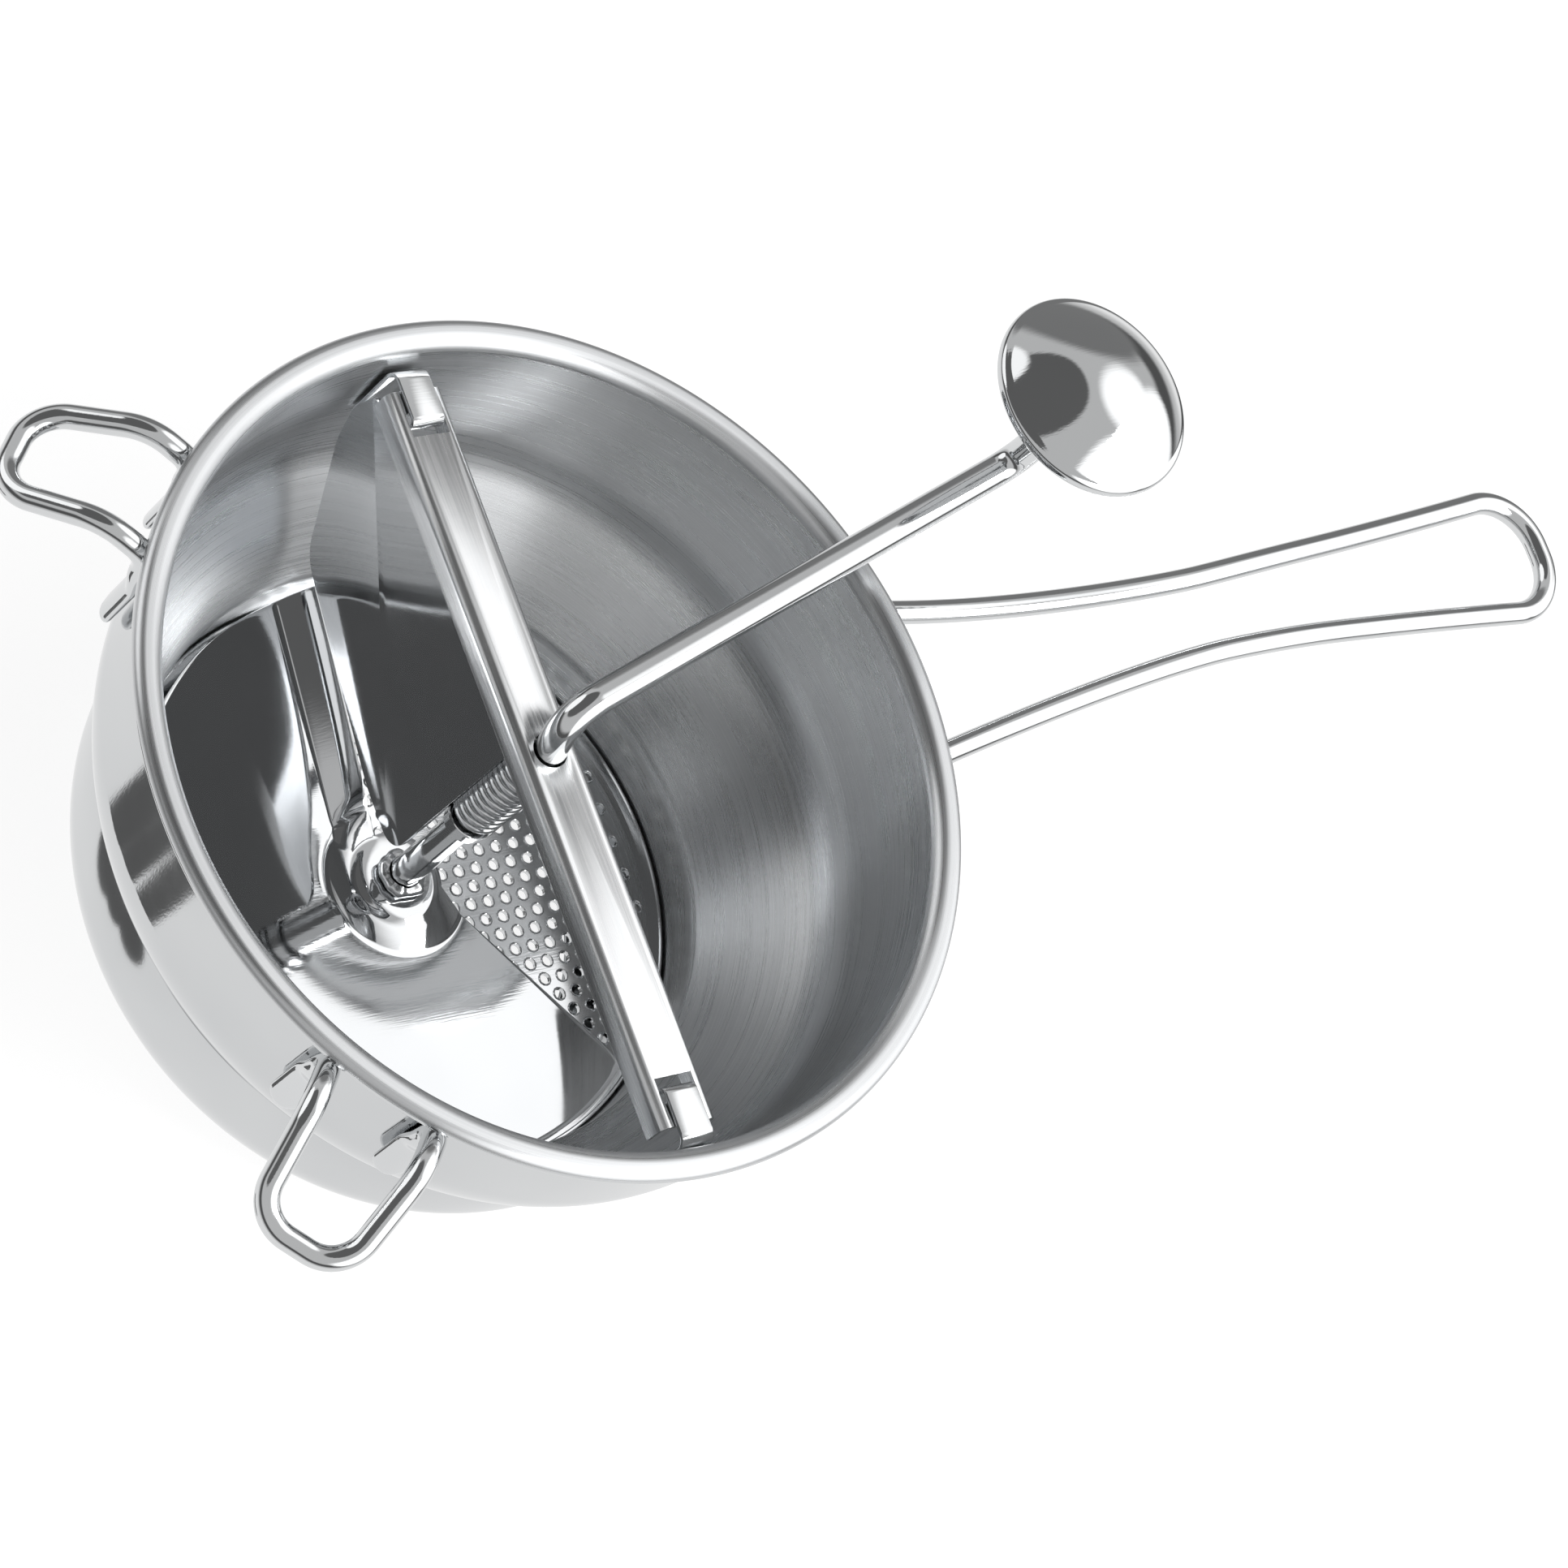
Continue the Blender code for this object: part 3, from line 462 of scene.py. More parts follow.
def carried(path, first_normal, half_in, half_across, sides=24, caps=True):
    """Rod or wire: an ellipse carried along the path by frames that never twist. A point is the
    path's own plus its normal and its cross direction weighed by the cosine and sine."""
    tangent = np.gradient(path, axis=0)
    tangent /= np.linalg.norm(tangent, axis=1, keepdims=True)
    normal = np.empty_like(path)
    last = np.asarray(first_normal, float)
    for k, ahead in enumerate(tangent):
        last = unit(last - ahead * (last @ ahead))
        normal[k] = last
    across = np.cross(tangent, normal)
    turn = 2 * math.pi * np.arange(sides) / sides
    half_in = np.broadcast_to(half_in, len(path))[:, None] * np.cos(turn)
    half_across = np.broadcast_to(half_across, len(path))[:, None] * np.sin(turn)
    points = (path[:, None] + normal[:, None] * half_in[..., None]
              + across[:, None] * half_across[..., None])
    faces = [grid_faces(len(path), sides, False, True)]
    if caps:
        faces += [np.arange(sides)[None], (len(path) - 1) * sides + np.arange(sides)[None]]
    return points.reshape(-1, 3), faces


def plated(outline, thickness, origin, across, up):
    """Flat plate: the outline's two coordinates along across and up, and half the thickness to
    both sides of the origin's plane."""
    outline = np.asarray(outline, float)
    across, up = np.asarray(across, float), np.asarray(up, float)
    flat = np.asarray(origin, float) + outline[:, :1] * across + outline[:, 1:] * up
    proud = np.cross(across, up) * thickness / 2
    count = len(outline)
    side = np.arange(count)[None]
    faces = [grid_faces(2, count, False, True), side, count + side]
    return np.concatenate([flat - proud, flat + proud]), faces


def piece(name, shells, finish, body, stands_for=(), crease=35.0):
    """One shown piece from its shells: doubles merged, faces turned outwards, sharp edges kept."""
    mesh = bpy.data.meshes.new(name)
    faces, start = [], 0
    for points, groups in shells:
        for group in groups:
            faces += (group + start).tolist()
        start += len(points)
    mesh.from_pydata(np.concatenate([points for points, _ in shells]).tolist(), [], faces)
    obj = bpy.data.objects.new(name, mesh)
    bpy.context.scene.collection.objects.link(obj)
    clean(obj, crease)
    mesh.materials.append(finish)
    if body:
        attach(obj, body)
        if stands_for:
            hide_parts(*stands_for)
    return obj


def clean(obj, crease=35.0):
    """Merges doubles, drops faces without area, turns faces outwards and keeps sharp edges."""
    work = bmesh.new()
    work.from_mesh(obj.data)
    bmesh.ops.remove_doubles(work, verts=work.verts, dist=0.000002)
    bmesh.ops.dissolve_degenerate(work, edges=work.edges, dist=0.000001)
    bmesh.ops.recalc_face_normals(work, faces=work.faces)
    work.to_mesh(obj.data)
    work.free()
    obj.data.shade_smooth()
    obj.data.set_sharp_from_angle(angle=math.radians(crease))


def finish_shape(obj, crease=35.0):
    """Applies the piece's modifiers and keeps the result as its mesh."""
    seen = obj.evaluated_get(bpy.context.evaluated_depsgraph_get())
    mesh = bpy.data.meshes.new_from_object(seen)
    obj.modifiers.clear()
    obj.data = mesh
    clean(obj, crease)


def soften(obj, width, angle=40.0):
    bevel = obj.modifiers.new("soft_edges", "BEVEL")
    bevel.width = width
    bevel.segments = 2
    bevel.limit_method = "ANGLE"
    bevel.angle_limit = math.radians(angle)
    bevel.use_clamp_overlap = True


def cut(obj, shell, operation):
    """Joins a helper shell to the piece, or cuts it away, and removes the helper."""
    helper = piece(obj.name + "_helper", [shell], SATIN, None)
    step = obj.modifiers.new("cut", "BOOLEAN")
    step.operation = operation
    step.object = helper
    step.solver = "EXACT"
    finish_shape(obj)
    bpy.data.objects.remove(helper)


# ---- bowl and skirt -------------------------------------------------------------------------
def bowl():
    """Sheet turned from the lip to the ledge: spun inside, and a mirror where it faces outwards."""
    corners = [
        (RIM_RADIUS - LIP_INSET, RIM_Z - LIP_DROP),
        (RIM_RADIUS, RIM_Z),
        (WALL_TOP, RIM_Z),
        (WALL_FOOT, RIM_Z - WALL_DEPTH),
        (COLLAR_RADIUS, RIM_Z - COLLAR_DEPTH),
        (COLLAR_RADIUS, RIM_Z - LEDGE_DEPTH),
        (COLLAR_RADIUS - LEDGE_WIDTH, RIM_Z - LEDGE_DEPTH),
    ]
    path = rounded(corners, [0.0026, 0.0040, SHOULDER_ROUND, 0.0050, 0.0012], 4.0)
    shown = piece("bowl_shell", [turned(sheet_loop(path, 0, SHEET), steps=BOWL_STEPS)], SPUN,
                  "bowl", ["bowl"])
    shown.data.materials.append(MIRROR)
    count = len(shown.data.polygons)
    normal, centre = np.empty(count * 3), np.empty(count * 3)
    shown.data.polygons.foreach_get("normal", normal)
    shown.data.polygons.foreach_get("center", centre)
    normal, centre = normal.reshape(-1, 3), centre.reshape(-1, 3)
    spoke = centre[:, :2] - AXIS
    outwards = (spoke * normal[:, :2]).sum(1) / np.linalg.norm(spoke, axis=1)
    outside = (outwards > 0.05) & (normal[:, 2] < 0.25) & (centre[:, 2] < RIM_Z - LIP_ROLL)
    outside |= normal[:, 2] < -0.05
    shown.data.polygons.foreach_set("material_index", outside.astype(np.int32))


def lower_skirt():
    """Sheet turned from under the shoulder to the foot, which is folded inwards."""
    top_z = RIM_Z - SKIRT_DEPTH
    top = shoulder_radius(top_z) + SHEET * math.hypot(1, SHOULDER_SLOPE) + 2 * GAP
    corners = [(top, top_z), (top - SKIRT_TAPER, SHEET), (top - SKIRT_TAPER - FOOT_WIDTH, SHEET)]
    path = rounded(corners, [FOOT_ROUND], 3.0)
    piece("skirt_shell", [turned(sheet_loop(path, 0, SHEET), steps=BOWL_STEPS)], MIRROR,
          "bowl", ["lower_skirt"])


# ---- perforated disc ------------------------------------------------------------------------
def hole_centres():
    """Hexagonal grid: every second row is shifted by half a pitch, kept inside the field."""
    reach = math.ceil(HOLE_FIELD / HOLE_PITCH) + 1
    row, column = np.meshgrid(np.arange(-reach - 3, reach + 4), np.arange(-reach, reach + 1))
    x = column * HOLE_PITCH + (row % 2) * HOLE_PITCH / 2
    y = row * HOLE_PITCH * math.sqrt(3) / 2
    far = np.hypot(x, y)
    keep = (far < HOLE_FIELD) & (far > HUB_RADIUS * 0.6)
    return np.stack([x[keep], y[keep]], 1)


def perforated_disc():
    """Disc with punched holes, a burr round each hole and an upturned rim."""
    centres = hole_centres()
    turn = 2 * math.pi * np.arange(HOLE_SIDES) / HOLE_SIDES
    around = np.stack([np.cos(turn), np.sin(turn)], 1)
    edge_turn = 2 * math.pi * np.arange(DISC_STEPS) / DISC_STEPS
    inner_rim = DISC_RADIUS - DISC_SHEET
    rings = [np.stack([np.cos(edge_turn), np.sin(edge_turn)], 1) * inner_rim]
    rings += list(centres[:, None] + around * HOLE_RADIUS)
    curve = bpy.data.curves.new("disc_field", "CURVE")
    curve.dimensions = "2D"
    curve.fill_mode = "BOTH"
    curve.extrude = DISC_SHEET / 2
    for ring in rings:
        spline = curve.splines.new("POLY")
        spline.points.add(len(ring) - 1)
        flat = np.concatenate([ring, np.zeros((len(ring), 1)), np.ones((len(ring), 1))], 1)
        spline.points.foreach_set("co", flat.ravel())
        spline.use_cyclic_u = True
    drawn = bpy.data.objects.new("disc_field", curve)
    bpy.context.scene.collection.objects.link(drawn)
    seen = drawn.evaluated_get(bpy.context.evaluated_depsgraph_get())
    field = bpy.data.meshes.new_from_object(seen)
    points = np.empty(len(field.vertices) * 3)
    field.vertices.foreach_get("co", points)
    points = points.reshape(-1, 3) + (*AXIS, DISC_TOP - DISC_SHEET / 2)
    faces = [np.array([list(face.vertices)]) for face in field.polygons]
    bpy.data.objects.remove(drawn)
    burr = np.array([
        (HOLE_RADIUS + BURR_WIDTH, -BURR_SINK),
        (HOLE_RADIUS + BURR_WIDTH * 0.85, 0.25 * BURR_HEIGHT),
        (HOLE_RADIUS + BURR_WIDTH * 0.35, BURR_HEIGHT),
        (HOLE_RADIUS, BURR_HEIGHT * 0.7),
        (HOLE_RADIUS, -BURR_SINK),
    ])
    ring = around[:, None] * burr[None, :, :1]
    rise = np.broadcast_to(DISC_TOP + burr[:, 1], (len(centres), HOLE_SIDES, len(burr)))
    flat = centres[:, None, None] + ring[None]
    burrs = np.concatenate([flat + AXIS, rise[..., None]], -1).reshape(-1, 3)
    one = grid_faces(HOLE_SIDES, len(burr), True, True)
    first = np.arange(len(centres)) * HOLE_SIDES * len(burr)
    burr_faces = (one[None] + first[:, None, None]).reshape(-1, 4)
    rim = [
        (inner_rim - BURR_SINK, DISC_BOTTOM),
        (inner_rim - BURR_SINK, DISC_TOP),
        (inner_rim, DISC_TOP + DISC_RIM * 0.9),
        (inner_rim + DISC_SHEET * 0.3, DISC_TOP + DISC_RIM),
        (DISC_RADIUS - DISC_SHEET * 0.3, DISC_TOP + DISC_RIM),
        (DISC_RADIUS, DISC_TOP + DISC_RIM * 0.9),
        (DISC_RADIUS, DISC_BOTTOM + DISC_EDGE),
        (DISC_RADIUS - DISC_EDGE, DISC_BOTTOM),
    ]
    shells = [(points, faces), (burrs, [burr_faces]), turned(rim, steps=DISC_STEPS)]
    piece("sieve_disc", shells, DISC_MIRROR, "bowl", ["perforated_disc"], 30.0)


# ---- crossbar and straps --------------------------------------------------------------------
def baffle_outline():
    """(y, z) outline of the baffle: out under the bar, down along the wall, back past the shaft."""
    under_bar = BAR_TOP - BAR_FLANGE * 0.6
    bend_z = RIM_Z - WALL_DEPTH + SHOULDER_ROUND * 0.42
    corner_z = BAFFLE_FOOT_Z + BAFFLE_SLANT
    wall = wall_radius(bend_z)
    corners = [
        (BAFFLE_EDGE, under_bar),
        (wall - 2 * BAFFLE_WALL, under_bar),
        (wall - BAFFLE_WALL, RIM_Z - WALL_DEPTH / 2),
        (wall - BAFFLE_WALL - BAFFLE_SHOULDER * 0.6, bend_z),
        (shoulder_radius(corner_z) - BAFFLE_SHOULDER * 1.6, corner_z - 0.001),
        (HUB_RADIUS * 1.7, BAFFLE_FOOT_Z),
        (BAFFLE_EDGE, BAFFLE_FOOT_Z),
        (BAFFLE_EDGE, under_bar),
    ]
    return rounded(corners, [0.002, 0.012, 0.020, 0.012, 0.040, 0.006], 5.0)[:-1]


def box_shell(x, y, z, centre):
    """Block with its sides along the axes."""
    outline = np.array([(-x, -y), (x, -y), (x, y), (-x, y)]) / 2
    return plated(outline, z, centre, (1, 0, 0), (0, 1, 0))


def crossbar():
    """Channel drawn along the bar, joined to the baffle, then bored for the rod and slotted."""
    half = BAR_WIDTH / 2
    section = rounded([(-half, BAR_TOP - BAR_FLANGE), (-half, BAR_TOP), (half, BAR_TOP),
                       (half, BAR_TOP - BAR_FLANGE)], [BAR_ROUND, BAR_ROUND], 7.0)
    loop = sheet_loop(section, 0, -BAR_SHEET, 4)
    channel = plated(loop, 2 * BAR_HALF, (*AXIS, 0), (1, 0, 0), (0, 0, 1))
    bar = piece("crossbar_channel", [channel], SATIN, "crossbar", ["crossbar"])
    middle = (AXIS[0] - half + BAR_SHEET / 2, AXIS[1], 0)
    cut(bar, plated(baffle_outline(), BAR_SHEET, middle, (0, 1, 0), (0, 0, 1)), "UNION")
    turn = 2 * math.pi * np.arange(48) / 48
    bore = (ROD_RADIUS + SHAFT_CLEARANCE) * np.stack([np.cos(turn), np.sin(turn)], 1)
    cut(bar, plated(bore, 3 * BAR_SHEET, (*AXIS, BAR_TOP), (1, 0, 0), (0, 1, 0)), "DIFFERENCE")
    for side in (1, -1):
        centre = (AXIS[0], AXIS[1] + side * (BAR_HALF - SLOT_INSET), BAR_TOP)
        cut(bar, box_shell(SLOT_WIDTH, SLOT_LENGTH, 3 * BAR_SHEET, centre), "DIFFERENCE")
    soften(bar, BAR_BEVEL)
    finish_shape(bar, 32.0)
    # Faces below the channel's flanges, the baffle, take the darker polished steel as painted shade
    # under the bar.
    bar.data.materials.clear()
    bar.data.materials.append(SATIN)
    bar.data.materials.append(SHADED_BAFFLE_STEEL)
    height = np.empty(len(bar.data.polygons) * 3)
    bar.data.polygons.foreach_get("center", height)
    low = height.reshape(-1, 3)[:, 2] < BAR_TOP - BAR_FLANGE * 0.98
    bar.data.polygons.foreach_set("material_index", low.astype(np.int32))


def lug_straps():
    """Bent strips: up the wall, over the bar's end and down into its slot."""
    foot_z = RIM_Z - STRAP_LEG
    leg = wall_radius(foot_z) - 2 * GAP - STRAP_SHEET / 2
    over = BAR_TOP + GAP + STRAP_SHEET / 2
    tip = BAR_HALF - SLOT_INSET
    corners = [(leg, foot_z), (leg, over), (tip, over), (tip, BAR_TOP - STRAP_DIP)]
    path = rounded(corners, [0.003, 0.0015], 7.0)
    loop = sheet_loop(path, -STRAP_SHEET / 2, STRAP_SHEET / 2, 6)
    for side, label in ((1, "far"), (-1, "near")):
        strip = plated(loop, STRAP_WIDTH, (*AXIS, 0), (0, side, 0), (0, 0, 1))
        strap = piece("lug_" + label, [strip], WIRE_MIRROR, "bowl",
                      ["lug_strap_" + label])
        soften(strap, STRAP_BEVEL, angle=60.0)
        finish_shape(strap)


# ---- crank, spring and blade ----------------------------------------------------------------
def spun(points, turn):
    """The points turned about the bowl's axis and moved onto it."""
    cosine, sine = math.cos(turn), math.sin(turn)
    turning = np.array([[cosine, -sine, 0], [sine, cosine, 0], [0, 0, 1]])
    return points @ turning.T + (*AXIS, 0)


def crank():
    """One round rod: up the shaft, out along the arm and up into the knob."""
    corners = [
        (0, 0, SHAFT_FOOT),
        (0, 0, BAR_TOP + 2 * GAP),
        (0, ELBOW_SIDE, ELBOW_Z),
        (CRANK_REACH, 0, CRANK_END_Z),
        (CRANK_REACH, 0, KNOB_Z + KNOB_DOME / 2 - GAP),
    ]
    path = spun(rounded(corners, [ELBOW_ROUND / 2, ELBOW_ROUND, KNOB_ROUND], 4.0), CRANK_TURN)
    piece("crank_arm", [carried(path, (1, 0, 0), ROD_RADIUS, ROD_RADIUS, 36)], WIRE_MIRROR,
          "crank", ["crank_rod"])


def spring_half(name, share_from, share_to, stands_for):
    """Part of a coil: the angle and the height both grow evenly along the wire."""
    low, high = SPRING_FOOT + GAP + SPRING_WIRE / 2, SPRING_TOP - GAP - SPRING_WIRE / 2
    count = int(SPRING_TURNS * SPRING_STEPS * (share_to - share_from)) + 1
    share = np.linspace(share_from, share_to, count)
    angle = 2 * math.pi * SPRING_TURNS * share
    path = np.stack([AXIS[0] + SPRING_RADIUS * np.cos(angle),
                     AXIS[1] + SPRING_RADIUS * np.sin(angle),
                     low + (high - low) * share], 1)
    start = (math.cos(angle[0]), math.sin(angle[0]), 0)
    return piece(name, [carried(path, start, SPRING_WIRE / 2, SPRING_WIRE / 2, 16)], SPRING_STEEL,
                 "bowl", stands_for)


def spring():
    """The coil in two halves: an upper one and a lower one."""
    upper = spring_half("spring_upper", 0.5, 1.0, ["spring"])
    lower = spring_half("spring_lower", 0.0, 0.5, [])
    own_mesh(upper)
    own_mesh(lower)


def ring_loop(inner, outer, low, high, chamfer=0.0002):
    """Square ring section with four small chamfers."""
    return [(inner, low + chamfer), (inner, high - chamfer),
            (inner + chamfer, high), (outer - chamfer, high),
            (outer, high - chamfer), (outer, low + chamfer),
            (outer - chamfer, low), (inner + chamfer, low)]


def washers_and_stop():
    """Three turned rings on the shaft: a washer at each end of the spring and the stop collar."""
    inner, outer = ROD_RADIUS + GAP, SPRING_RADIUS + SPRING_WIRE / 2
    stop_top = SPRING_FOOT - WASHER - GAP
    rows = [
        ("washer_upper", outer, SPRING_TOP, SPRING_TOP + WASHER, "crossbar", "spring_washer_upper"),
        ("washer_lower", outer, SPRING_FOOT - WASHER, SPRING_FOOT, "lift_ring",
         "spring_washer_lower"),
        ("stop_ring", outer - 0.001, stop_top - COLLAR_STOP, stop_top, "crank", "stop_collar"),
    ]
    for name, wide, low, high, body, node in rows:
        ring = turned(ring_loop(inner, wide, low, high), steps=WASHER_STEPS)
        piece(name, [ring], WIRE_MIRROR, body, [node])


def blade_height(radius, travel, strip):
    """Height of the blade's underside: a low cone round the shaft, plus a ramp that grows with the
    radius and towards the leading edge, plus the bent strip's own rise."""
    out = np.maximum(0, (radius - HUB_RADIUS) / (BLADE_RADIUS - HUB_RADIUS))
    cone = np.maximum(0, 1 - (radius - ROD_RADIUS) / (1.6 * HUB_RADIUS - ROD_RADIUS))
    ramp = (BLADE_RISE - STRIP_RISE) * out**0.8 * travel**1.15
    lip = STRIP_RISE * strip * np.clip(radius / HUB_RADIUS - 0.8, 0, 1)
    return DISC_TOP + 2 * GAP + HUB_HEIGHT * np.minimum(1, 1.6 * cone) + ramp + lip


def edge_angle(direction, offset, radius):
    """Direction, at a radius, of a straight edge that passes the axis at an offset."""
    return direction + np.arcsin(offset / np.maximum(radius, max(1.3 * offset, HUB_RADIUS)))


def blade():
    """Blade as a grid of radius by travel, from the leading strip to the trailing edge, with the
    hub's ring closed by a second grid between the two edges."""
    rows, columns, strip_columns = 56, 150, 10
    inner = ROD_RADIUS + SHAFT_CLEARANCE
    radius = np.linspace(inner, BLADE_RADIUS, rows + 1)[None, :]
    lead = edge_angle(BLADE_LEAD, LEAD_OFFSET, radius)
    crease = edge_angle(BLADE_LEAD, LEAD_OFFSET + BLADE_STRIP, radius)
    trail = edge_angle(BLADE_TRAIL, TRAIL_OFFSET, radius)
    step = np.linspace(0, 1, strip_columns + 1)[:, None]
    share = np.linspace(0, 1, columns + 1)[1:, None]
    angle = np.concatenate([lead + (crease - lead) * step, crease + (trail - crease) * share])
    height = np.concatenate([blade_height(radius, 1.0, 1 - step),
                             blade_height(radius, 1 - share, 0.0)])
    wide = np.broadcast_to(radius, angle.shape)
    sector = np.stack([wide * np.cos(angle), wide * np.sin(angle), height], -1)
    hub_rows = round(rows * (HUB_RADIUS - inner) / (BLADE_RADIUS - inner)) + 1
    turn = np.linspace(0, 1, 31)[:, None]
    near = radius[:, :hub_rows]
    start, end = trail[:, :hub_rows], lead[:, :hub_rows] + 2 * math.pi
    angle = start + (end - start) * turn
    last, first = height[-1:, :hub_rows], height[:1, :hub_rows]
    height = last + (first - last) * turn
    ring = np.stack([near * np.cos(angle), near * np.sin(angle), height], -1)
    shells = []
    for grid in (sector, ring):
        points = grid.reshape(-1, 3) + (*AXIS, 0)
        shells.append((points, [grid_faces(grid.shape[0], grid.shape[1])]))
    plate = piece("blade_sheet", shells, BLADE_MIRROR, "crank", ["blade"], 60.0)
    normal = np.empty(len(plate.data.polygons) * 3)
    plate.data.polygons.foreach_get("normal", normal)
    if normal[2::3].sum() > 0:
        plate.data.flip_normals()
    wall = plate.modifiers.new("sheet", "SOLIDIFY")
    wall.thickness = SHEET
    wall.offset = -1.0
    soften(plate, BLADE_BEVEL, angle=60.0)
    finish_shape(plate, 40.0)


def hub_weld():
    """Hand-laid bead round the shaft: a turned loop whose size swells and shrinks by sines of
    five and nine times the angle."""
    inner = ROD_RADIUS + GAP
    turn = np.linspace(-0.5 * math.pi, 0.5 * math.pi, 13)
    bulge = np.stack([inner + WELD_WIDTH * np.cos(turn),
                      WELD_Z + WELD_HEIGHT * 0.5 * (1 + np.sin(turn))], 1)
    loop = np.concatenate([[(inner, WELD_Z)], bulge, [(inner, WELD_Z + WELD_HEIGHT)]])

    def lumps(angle, radius, height):
        size = (0.80 + 0.12 * np.sin(5 * angle + 0.4)
                + 0.08 * np.sin(9 * angle + 1.3) * np.sin(2 * angle))
        return inner + (radius - inner) * size, WELD_Z + (height - WELD_Z) * (0.55 + 0.5 * size)

    piece("weld_bead", [turned(loop, steps=120, wobble=lumps)], WELD_STEEL,
          "crank", ["blade_weld"])


# ---- knob -----------------------------------------------------------------------------------
def knob():
    """Dome whose height falls by a power of the radius and ends in a rolled edge, a dished plate
    that closes it from below, the bush round the pin and the ring on the pin's end."""
    flat = KNOB_RADIUS - KNOB_SHEET
    crown = flat - KNOB_ROLL
    pin_top = KNOB_Z + KNOB_DOME / 2
    radius = np.linspace(0, crown, 40)
    dome = np.stack([radius, KNOB_DOME * (1 - (radius / flat) ** KNOB_POWER) - KNOB_SHEET], 1)
    corners = [dome[-1], (flat, -SMALL_EDGE), (flat, -KNOB_SKIRT + KNOB_ROLL),
               (flat - KNOB_ROLL, -KNOB_SKIRT + SMALL_EDGE)]
    edge = rounded(corners, [KNOB_BEND, KNOB_BEND], 10.0)
    path = np.concatenate([dome, edge[1:]])
    shell = np.concatenate([path + mitres(path)[2] * KNOB_SHEET, path[::-1]])
    shell[0, 0] = 0.0
    shell[:, 1] += KNOB_Z
    piece("knob_dome", [turned(shell, KNOB_AXIS, KNOB_STEPS)], KNOB_MIRROR,
          "knob", ["knob_cap"])

    sleeve = ROD_RADIUS + GAP
    bush_outer = sleeve + BUSH_WALL
    rim_foot = KNOB_Z - KNOB_SKIRT / 2
    share = np.linspace(0, 1, 24)
    dish_radius = (flat - 2 * GAP) * (1 - share) + (bush_outer + GAP) * share
    dish = np.stack([dish_radius, rim_foot - KNOB_DISH * (1 - (1 - share) ** KNOB_POWER)], 1)
    plate = np.concatenate([dish + (0, KNOB_SHEET), dish[::-1]])
    piece("knob_plate", [turned(plate, KNOB_AXIS, KNOB_STEPS)], MIRROR,
          "knob", ["knob_base"])

    flange = bush_outer + BUSH_FLANGE
    seat = rim_foot - KNOB_DISH * 0.8 + KNOB_SHEET + GAP
    foot = rim_foot - KNOB_DISH - KNOB_SHEET
    bush = [
        (bush_outer, pin_top - GAP),
        (bush_outer, seat + KNOB_SHEET),
        (flange, seat + KNOB_SHEET),
        (flange, seat),
        (bush_outer, seat),
        (bush_outer, foot + SMALL_EDGE),
        (bush_outer - SMALL_EDGE, foot),
        (sleeve, foot),
        (sleeve, pin_top - GAP),
    ]
    piece("knob_sleeve", [turned(bush, KNOB_AXIS, RING_STEPS)], WIRE_MIRROR,
          "knob", ["knob_bush"])

    low = pin_top + GAP
    high = low + RING_HEIGHT
    ring = [
        (0, low),
        (bush_outer - RING_EDGE, low),
        (bush_outer, low + RING_EDGE),
        (bush_outer, high - RING_EDGE),
        (bush_outer - RING_EDGE, high),
        (0, high),
    ]
    piece("knob_ring", [turned(ring, KNOB_AXIS, WASHER_STEPS)], WIRE_MIRROR,
          "crank", ["knob_retainer"])


# ---- wire handle and hooks ------------------------------------------------------------------
def smooth(share):
    """Smooth step: three times the square less twice the cube, level at both ends."""
    share = np.clip(share, 0, 1)
    return share * share * (3 - 2 * share)


def leg_radius(half_spread, z):
    """Distance along the wire's own direction at which a leg clears the bowl's wall."""
    reach = wall_radius(z) + SHEET + GAP + WIRE_RADIUS
    return math.sqrt(reach * reach - half_spread * half_spread)


